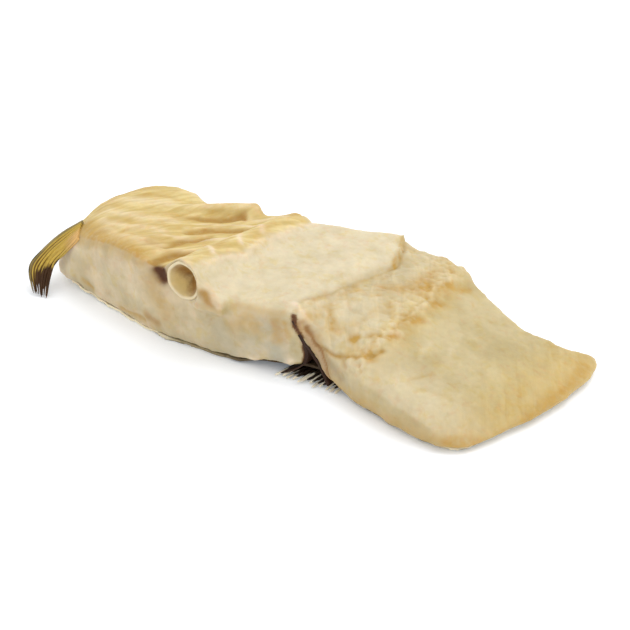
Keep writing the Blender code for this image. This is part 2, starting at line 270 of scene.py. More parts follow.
class Sculpt:
    """A mesh held as arrays in measuring millimetres while it is worked."""

    def __init__(self, mesh: bpy.types.Mesh) -> None:
        """Reads a mesh that lies in the row frame.

        Args:
            mesh: The mesh, which write() changes.
        """
        self.mesh = mesh
        flat = np.empty(len(mesh.vertices) * 3, np.float32)
        mesh.vertices.foreach_get("co", flat)
        self.at = DATUM.from_row(flat.reshape(-1, 3).astype(float))
        pairs = np.empty(len(mesh.edges) * 2, np.int32)
        mesh.edges.foreach_get("vertices", pairs)
        self.edges = pairs.reshape(-1, 2)
        self.links = np.bincount(self.edges.ravel(), minlength=len(self.at))

    def normals(self) -> np.ndarray:
        """Outward directions of the surface as it now stands.

        Returns:
            One unit vector for each point.
        """
        self.write()
        flat = np.empty(len(self.at) * 3, np.float32)
        self.mesh.vertex_normals.foreach_get("vector", flat)
        return flat.reshape(-1, 3).astype(float)

    def spread(self, values: np.ndarray) -> np.ndarray:
        """Averages over each point's neighbours.

        Args:
            values: One number or one row of numbers for each point.

        Returns:
            The means, in the same shape.
        """
        table = values.reshape(len(values), -1)
        first, second = self.edges.T
        columns = [
            np.bincount(first, table[second, k], len(table))
            + np.bincount(second, table[first, k], len(table))
            for k in range(table.shape[1])
        ]
        return (np.stack(columns, 1) / self.links[:, None]).reshape(values.shape)

    def smooth(self, rounds: int, keep_size: bool = True,
               share: Optional[np.ndarray] = None) -> None:
        """Evens the surface out.

        Args:
            rounds: How many times it is evened.
            keep_size: Whether each round is followed by one that swells it back.
            share: How much each point takes part; all do if it is left out.
        """
        weight = np.ones(len(self.at)) if share is None else share
        for _ in range(rounds):
            for step in (0.5, -0.52) if keep_size else (0.5,):
                self.at += step * weight[:, None] * (self.spread(self.at) - self.at)

    def hollows(self, rounds: int) -> np.ndarray:
        """How far each point lies below its evened surroundings.

        Args:
            rounds: How many times the surroundings are evened.

        Returns:
            One depth for each point, below 0 where the point stands proud.
        """
        evened = self.at.copy()
        for _ in range(rounds):
            evened = self.spread(evened)
        return ((evened - self.at) * self.normals()).sum(axis=1)

    def paint(self, name: str, values: np.ndarray) -> None:
        """Stores an attribute on the mesh.

        Args:
            name: The attribute's name.
            values: One number or one vector for each point.
        """
        kind, key = ("FLOAT", "value") if values.ndim == 1 else ("FLOAT_VECTOR", "vector")
        layer = self.mesh.attributes.new(name, kind, "POINT")
        layer.data.foreach_set(key, values.astype(np.float32).ravel())

    def write(self) -> None:
        """Puts the points back into the mesh."""
        self.mesh.vertices.foreach_set(
            "co", DATUM.to_row(self.at).astype(np.float32).ravel()
        )
        self.mesh.update()


def link(name: str, data: bpy.types.ID) -> bpy.types.Object:
    """Puts a mesh, a lamp or a camera into the scene.

    Args:
        name: The name of the object that holds it.
        data: What it holds.

    Returns:
        The object, at the origin.
    """
    made = bpy.data.objects.new(name, data)
    bpy.context.scene.collection.objects.link(made)
    return made


def dressed(piece: bpy.types.Object, finish: bpy.types.Material) -> bpy.types.Object:
    """Gives a piece its one finish and smooth shading.

    Args:
        piece: The piece.
        finish: Its material.

    Returns:
        The same piece.
    """
    piece.data.materials.clear()
    piece.data.materials.append(finish)
    piece.data.shade_smooth()
    return piece


def settle(source: bpy.types.Object, name: str) -> bpy.types.Object:
    """Turns an object and its modifiers into a plain mesh object.

    Args:
        source: The object with its modifiers, which is removed.
        name: The new object's name.

    Returns:
        The plain object, at the origin.
    """
    bpy.context.view_layer.update()
    graph = bpy.context.evaluated_depsgraph_get()
    mesh = bpy.data.meshes.new_from_object(source.evaluated_get(graph))
    mesh.transform(source.matrix_world)
    source.modifiers.clear()
    bpy.data.objects.remove(source)
    mesh.name = name
    return link(name, mesh)


def merged_copy(node: str) -> bpy.types.Mesh:
    """Copies a CAD node's mesh and joins up its loose triangles.

    Args:
        node: The node's name.

    Returns:
        The copy, with no material.
    """
    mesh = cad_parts[node].data.copy()
    mesh.materials.clear()
    form = bmesh.new()
    form.from_mesh(mesh)
    bmesh.ops.remove_doubles(form, verts=form.verts, dist=MERGE_DISTANCE)
    form.to_mesh(mesh)
    form.free()
    return mesh


def joined(name: str, meshes: Sequence[bpy.types.Mesh]) -> bpy.types.Mesh:
    """Puts several meshes into one, with their attributes.

    Args:
        name: The new mesh's name.
        meshes: The meshes, which stay as they are.

    Returns:
        The new mesh.
    """
    form = bmesh.new()
    for mesh in meshes:
        form.from_mesh(mesh)
    made = bpy.data.meshes.new(name)
    form.to_mesh(made)
    form.free()
    return made


def swept(name: str, rows: np.ndarray) -> bpy.types.Mesh:
    """A closed mesh through rows of points that each go once round it.

    Args:
        name: The mesh's name.
        rows: The points of each row in measuring millimetres, as many in every row.

    Returns:
        The mesh, in metres of the row frame, with its faces outwards.
    """
    count, around = rows.shape[:2]
    faces: list[Sequence[int]] = [
        (r * around + i, r * around + (i + 1) % around,
         (r + 1) * around + (i + 1) % around, (r + 1) * around + i)
        for r in range(count - 1) for i in range(around)
    ]
    last = (count - 1) * around
    faces += [tuple(reversed(range(around))), tuple(range(last, last + around))]
    mesh = bpy.data.meshes.new(name)
    mesh.from_pydata(DATUM.to_row(rows.reshape(-1, 3)).tolist(), [], faces)
    form = bmesh.new()
    form.from_mesh(mesh)
    if form.calc_volume(signed=True) < 0.0:
        bmesh.ops.reverse_faces(form, faces=form.faces)
    form.to_mesh(mesh)
    form.free()
    mesh.shade_smooth()
    return mesh


def tube(points: np.ndarray, radius: float, around: int) -> np.ndarray:
    """Rings round a line of points.

    Args:
        points: The middle of each ring.
        radius: The radius of every ring.
        around: How many points each ring has.

    Returns:
        One row of points for each ring.
    """
    onward = np.gradient(points, axis=0)
    onward /= np.linalg.norm(onward, axis=1)[:, None]
    sideways = np.cross(onward, (0.0, 0.0, 1.0))
    sideways /= np.linalg.norm(sideways, axis=1)[:, None]
    upward = np.cross(sideways, onward)
    turn = np.linspace(0.0, 2.0 * math.pi, around, endpoint=False)
    ring = sideways[:, None] * np.cos(turn)[None, :, None]
    ring = ring + upward[:, None] * np.sin(turn)[None, :, None]
    return points[:, None] + radius * ring


class Shader:
    """Builds one node material with short calls."""

    def __init__(self, name: str, **steady: Any) -> None:
        """Makes the material.

        Args:
            name: The material's name.
            steady: Inputs of its surface shader that are the same all over, with
                underscores for spaces.
        """
        self.material = bpy.data.materials.new(name)
        self.material.use_nodes = True
        self.tree = self.material.node_tree
        self.surface = self.tree.nodes["Principled BSDF"]
        for key, value in steady.items():
            self.surface.inputs[key.replace("_", " ")].default_value = value
        self.places = self.tree.nodes.new("ShaderNodeTexCoord").outputs["Object"]

    def put(self, socket: Any, value: Any) -> None:
        """Fills one input of a node.

        Args:
            socket: The input.
            value: A socket to link into it, or the input's own value.
        """
        if isinstance(value, bpy.types.NodeSocket):
            self.tree.links.new(value, socket)
        elif isinstance(value, tuple) and len(value) == 3 and socket.type == "RGBA":
            socket.default_value = (*value, 1.0)
        else:
            socket.default_value = value

    def attribute(self, name: str, output: str = "Fac") -> Any:
        """Reads an attribute of the piece's mesh.

        Args:
            name: The attribute's name.
            output: Which output of the node is used.

        Returns:
            The output socket.
        """
        made = self.tree.nodes.new("ShaderNodeAttribute")
        made.attribute_name = name
        return made.outputs[output]

    def math(self, kind: str, first: Any, second: Any, clamp: bool = False) -> Any:
        """One step of arithmetic.

        Args:
            kind: The operation's name in Blender.
            first: The first number or socket.
            second: The second number or socket.
            clamp: Whether the result is kept from 0 to 1.

        Returns:
            The result's socket.
        """
        made = self.tree.nodes.new("ShaderNodeMath")
        made.operation = kind
        made.use_clamp = clamp
        self.put(made.inputs[0], first)
        self.put(made.inputs[1], second)
        return made.outputs[0]

    def levels(self, value: Any, low: float, high: float, bottom: float = 0.0,
               top: float = 1.0) -> Any:
        """Stretches a value, with soft ends.

        Args:
            value: The socket to read.
            low: What becomes bottom.
            high: What becomes top.
            bottom: The least that comes out.
            top: The most that comes out.

        Returns:
            The result's socket.
        """
        made = self.tree.nodes.new("ShaderNodeMapRange")
        made.interpolation_type = "SMOOTHSTEP"
        for number, given in enumerate((value, low, high, bottom, top)):
            self.put(made.inputs[number], given)
        return made.outputs[0]

    def blend(self, share: Any, first: Any, second: Any, kind: str = "MIX") -> Any:
        """Mixes two colours.

        Args:
            share: How much of the second colour is used.
            first: The first colour, or a socket that carries one.
            second: The second colour, likewise.
            kind: The way of mixing.

        Returns:
            The result's socket.
        """
        made = self.tree.nodes.new("ShaderNodeMix")
        made.data_type = "RGBA"
        made.blend_type = kind
        self.put(made.inputs["Factor"], share)
        self.put(made.inputs[6], first)
        self.put(made.inputs[7], second)
        return made.outputs[2]

    def layers(self, colour: Any, *over: tuple[Any, Any]) -> Any:
        """Lays colours over one another.

        Args:
            colour: The lowest colour.
            over: The share and the colour of each layer, from the lowest up.

        Returns:
            The socket of the colour that shows.
        """
        for share, tint in over:
            colour = self.blend(share, colour, tint)
        return colour

    def shaded(self, colour: Any, *shades: Any) -> Any:
        """Multiplies a colour by greys or tints.

        Args:
            colour: The colour.
            shades: What it is multiplied by.

        Returns:
            The result's socket.
        """
        for shade in shades:
            colour = self.blend(1.0, colour, shade, "MULTIPLY")
        return colour

    def scaled(self, vector: Any, scale: Sequence[float]) -> Any:
        """Stretches each axis of a vector on its own.

        Args:
            vector: The vector's socket.
            scale: One factor for each axis.

        Returns:
            The result's socket.
        """
        made = self.tree.nodes.new("ShaderNodeMapping")
        made.inputs["Scale"].default_value = scale
        self.tree.links.new(vector, made.inputs["Vector"])
        return made.outputs[0]

    def flow(self, heading: float, lengths: Sequence[float]) -> Any:
        """The piece's own places, turned to a heading and measured in given lengths.

        Args:
            heading: The direction that the first length lies along, in radians.
            lengths: The length of one unit along, across and upward, in millimetres.

        Returns:
            The vector to read a streaked pattern with.
        """
        made = self.tree.nodes.new("ShaderNodeMapping")
        made.vector_type = "TEXTURE"
        made.inputs["Rotation"].default_value = (0.0, 0.0, heading)
        made.inputs["Scale"].default_value = tuple(v * MM for v in lengths)
        self.tree.links.new(self.places, made.inputs["Vector"])
        return made.outputs[0]

    def speckle(self, vector: Any, scale: float, detail: float = 3.0,
                roughness: float = 0.55, distortion: float = 0.0) -> Any:
        """Noise from 0 to 1.

        Args:
            vector: The socket of the places to read it at.
            scale: How many bumps there are in one unit of the vector.
            detail: How many finer layers it has.
            roughness: How strong the finer layers are.
            distortion: How far it is warped.

        Returns:
            The noise's socket.
        """
        made = self.tree.nodes.new("ShaderNodeTexNoise")
        self.tree.links.new(vector, made.inputs["Vector"])
        for key, value in (("Scale", scale), ("Detail", detail),
                           ("Roughness", roughness), ("Distortion", distortion)):
            made.inputs[key].default_value = value
        return made.outputs[0]

    def cells(self, vector: Any, scale: float) -> Any:
        """Distance to the nearest of many scattered points.

        Args:
            vector: The socket of the places to measure from.
            scale: How many points there are along one unit of the vector.

        Returns:
            The distance's socket.
        """
        made = self.tree.nodes.new("ShaderNodeTexVoronoi")
        self.tree.links.new(vector, made.inputs["Vector"])
        made.inputs["Scale"].default_value = scale
        return made.outputs["Distance"]

    def raise_by(self, height: Any, millimetres: float, under: Any = None) -> Any:
        """Bumps the surface by a height field.

        Args:
            height: The field, from 0 to 1.
            millimetres: How far its 1 stands above its 0.
            under: The bumped normal that this one builds on, if there is one.

        Returns:
            The bumped normal.
        """
        made = self.tree.nodes.new("ShaderNodeBump")
        made.inputs["Strength"].default_value = 1.0
        made.inputs["Distance"].default_value = millimetres * MM
        self.put(made.inputs["Height"], height)
        if under is not None:
            self.put(made.inputs["Normal"], under)
        return made.outputs[0]

    def finish(self, **fields: Any) -> bpy.types.Material:
        """Links the finished fields into the surface shader.

        Args:
            fields: What goes into each of its inputs, with underscores for spaces.

        Returns:
            The material.
        """
        for key, value in fields.items():
            self.put(self.surface.inputs[key.replace("_", " ")], value)
        return self.material


class Recipe:
    """A Geometry Nodes tree with named inputs, built with short calls."""

    def __init__(self, name: str) -> None:
        """Starts a tree with a geometry input and output.

        Args:
            name: The tree's name.
        """
        self.tree = bpy.data.node_groups.new(name, "GeometryNodeTree")
        face = self.tree.interface
        face.new_socket("Geometry", in_out="INPUT", socket_type="NodeSocketGeometry")
        face.new_socket("Geometry", in_out="OUTPUT", socket_type="NodeSocketGeometry")
        self.start = self.tree.nodes.new("NodeGroupInput")
        self.end = self.tree.nodes.new("NodeGroupOutput")
        self.keys: dict[str, str] = {}

    def input(self, name: str, kind: str) -> Any:
        """Adds a named input.

        Args:
            name: The input's name.
            kind: Its socket type, without the common beginning.

        Returns:
            Its socket inside the tree.
        """
        made = self.tree.interface.new_socket(
            name, in_out="INPUT", socket_type="NodeSocket" + kind
        )
        self.keys[name] = made.identifier
        return self.start.outputs[name]

    def step(self, kind: str, links: Optional[dict[Any, Any]] = None,
             **settings: Any) -> Any:
        """Adds a node.

        Args:
            kind: The node's type, without its common beginning.
            links: What goes into its inputs, by their name or number.
            settings: Its own settings.

        Returns:
            The node.
        """
        start = "" if kind.startswith(("Function", "Shader")) else "GeometryNode"
        made = self.tree.nodes.new(start + kind)
        for key, value in settings.items():
            setattr(made, key, value)
        for key, value in (links or {}).items():
            if isinstance(value, bpy.types.NodeSocket):
                self.tree.links.new(value, made.inputs[key])
            else:
                made.inputs[key].default_value = value
        return made

    def close(self, geometry: Any) -> None:
        """Ends the tree: real meshes, then their finish.

        Args:
            geometry: The socket of what was built.
        """
        finish = self.input("Finish", "Material")
        real = self.step("RealizeInstances", {"Geometry": geometry})
        dressing = self.step(
            "SetMaterial", {"Geometry": real.outputs[0], "Material": finish}
        )
        self.tree.links.new(dressing.outputs[0], self.end.inputs[0])

    def grow(self, target: bpy.types.Object, name: str, **values: Any) -> bpy.types.Object:
        """Runs the tree on an object.

        Args:
            target: The object it works on, which the result takes the place of.
            name: The result's name.
            values: The named inputs, with underscores for spaces.

        Returns:
            The result as a plain mesh object.
        """
        modifier = target.modifiers.new(name, "NODES")
        modifier.node_group = self.tree
        for key, value in values.items():
            modifier[self.keys[key.replace("_", " ")]] = value
        return settle(target, name)


@dataclass(frozen=True)
class FleshFinish:
    """Salted, dried fish meat: waxy, a little see-through, stained where it dried."""

    meat: Colour = (0.450, 0.360, 0.178)
    meat_light: Colour = (0.520, 0.430, 0.240)
    membrane: Colour = (0.570, 0.415, 0.140)
    membrane_light: Colour = (0.650, 0.525, 0.245)
    cut: Colour = (0.575, 0.465, 0.300)
    cut_dim: Colour = (0.475, 0.388, 0.232)
    # Pale also serves as painted light on the lobe at the left end of the front cut.
    pale: Colour = (0.645, 0.560, 0.385)
    # This pink is also the colour of painted highlights on ridges and on the brink.
    blush: Colour = (0.780, 0.640, 0.470)
    grey: Colour = (0.400, 0.380, 0.290)
    # Ochre is also, in part, painted shade in hollows and pockets.
    ochre: Colour = (0.470, 0.290, 0.070)
    # Rust and blood also serve as painted shade in the gap, the pockets and the blood channel.
    rust: Colour = (0.300, 0.150, 0.045)
    blood: Colour = (0.080, 0.024, 0.004)
    yellowed: Colour = (0.985, 0.945, 0.790)
    flushed: Colour = (1.000, 0.920, 0.890)
    streak_length: float = 18.0
    streak_width: float = 3.4

    def grain(self, made: Shader) -> Any:
        """Streaks that follow the membrane's folds, the muscle and the cut walls.

        Args:
            made: The material's builder.

        Returns:
            The socket of a height from 0 to 1.
        """
        long, wide = self.streak_length, self.streak_width
        flakes, folds, fibres = (
            made.speckle(made.flow(heading, lengths), 1.0, 2.0, 0.6, 0.7)
            for heading, lengths in (
                (FLAKE_HEADING, (long, wide, 3.0 * wide)),
                (SPINE_HEADING, (long, wide, 3.0 * wide)),
                (0.0, (2.2 * wide, 2.2 * wide, 0.5 * long)),
            )
        )
        return made.layers(flakes, (made.attribute("west"), folds),
                           (made.attribute("wall"), fibres))

    def patches(self, made: Shader) -> list[Any]:
        """Faint yellow and pink patches.

        Args:
            made: The material's builder.

        Returns:
            The socket of a tint for each kind of patch.
        """
        return [
            made.blend(
                made.levels(made.speckle(made.scaled(made.places, (stretch,) * 3),
                                         150.0, 4.0, 0.62, 0.5), low, high),
                NO_TINT, tint)
            for stretch, low, high, tint in (
                (1.2, 0.50, 0.68, self.yellowed), (1.7, 0.52, 0.70, self.flushed),
            )
        ]

    def material(self) -> bpy.types.Material:
        """Builds the node material that reads the flesh's painted attributes.

        Returns:
            The material.
        """
        made = Shader(
            "dried_flesh", Subsurface_Weight=0.3, Subsurface_Scale=0.0028,
            Subsurface_Radius=(1.0, 0.62, 0.32), Specular_IOR_Level=0.28,
        )
        tone = {t: made.attribute(t.value) for t in Tone}
        coarse, streaky = made.attribute("coarse"), made.attribute("streaky")
        broad = made.speckle(made.places, 55.0, 3.0)
        fine = made.speckle(made.places, 420.0, 4.0, 0.6)
        pits = made.speckle(made.places, 620.0, 3.0, 0.55)
        streaks = self.grain(made)

        meat = made.blend(made.levels(broad, 0.35, 0.65), self.meat, self.meat_light)
        skinned = made.blend(made.levels(streaks, 0.3, 0.68), self.membrane,
                             self.membrane_light)
        sliced = made.blend(made.levels(broad, 0.4, 0.62), self.cut_dim, self.cut)
        # The ochre share, partly painted shade in hollows and pockets.
        stain_and_painted_light = made.math("MULTIPLY", tone[Tone.OCHRE],
                          made.levels(fine, 0.2, 0.62, 0.6, 1.1), clamp=True)
        colour = made.layers(
            meat, (tone[Tone.MEMBRANE], skinned), (tone[Tone.CUT], sliced),
            (tone[Tone.PALE], self.pale), (tone[Tone.GREY], self.grey),
            (tone[Tone.BLUSH], self.blush), (stain_and_painted_light, self.ochre),
            (tone[Tone.RUST], self.rust), (tone[Tone.BLOOD], self.blood),
        )
        streaked = made.levels(streaks, 0.25, 0.75, 0.87, 1.02)
        calm = made.levels(broad, 0.3, 0.7, 0.92, 0.98)
        colour = made.shaded(
            colour, *self.patches(made),
            made.blend(made.levels(streaky, 0.1, 0.6), calm, streaked),
            made.levels(fine, 0.25, 0.75, 0.95, 1.04),
        )
        normal = made.raise_by(made.math("MULTIPLY", streaks, streaky), 0.26)
        normal = made.raise_by(made.math("MULTIPLY", pits, coarse), 0.30, normal)
        return made.finish(Base_Color=colour, Normal=normal,
                           Roughness=made.levels(fine, 0.2, 0.8, 0.46, 0.68))


class Zones:
    """Where each kind of surface lies on the flesh, as one share for each point."""

    def __init__(self, flesh: "Flesh", form: Sculpt) -> None:
        """Reads the even surface before any mark is worked into it.

        Args:
            flesh: The sizes and lines of the piece.
            form: Its surface.
        """
        self.at, self.normals = form.at.copy(), form.normals()
        x, y, z = self.at.T
        self.facing = {side: side.facing(self.normals) for side in Side}
        self.top = self.facing[Side.TOP]
        self.at_front = ease(9.0, 5.0, y - keyed(flesh.front_cut, x))
        self.sliced = np.maximum(self.facing[Side.FRONT] * self.at_front,
                                 self.facing[Side.BACK] * ease(34.0, 32.0, z))
        self.sway = np.stack([clouds(self.at, 7.0, seed) for seed in (1, 2, 3)], 1)
        self.lumps = clouds(self.at, 6.5, 5, 3.0)
        self.crumbs = clouds(self.at, 2.6, 6, 2.0)

        edge = keyed(flesh.membrane_edge, y) + 1.2 * self.sway[:, 0]
        self.west = ease(edge + 2.4, edge - 2.4, x + 1.2 * clouds(self.at, 3.0, 13))
        fold = keyed(flesh.crease, y) + 0.6 * self.sway[:, 1]
        east = ease(fold - 0.7, fold + 0.7, x)
        self.middle = (1.0 - self.west) * (1.0 - east)
        septum = keyed(flesh.septum, y) + 3.0 * self.sway[:, 0]
        self.east = east
        self.dorsal = east * ease(septum + 3.0, septum - 3.0, x)
        self.band = east * np.exp(-(((x - septum + 3.0) / 7.0) ** 2)) * self.top
        self.belly = east * (1.0 - self.dorsal)


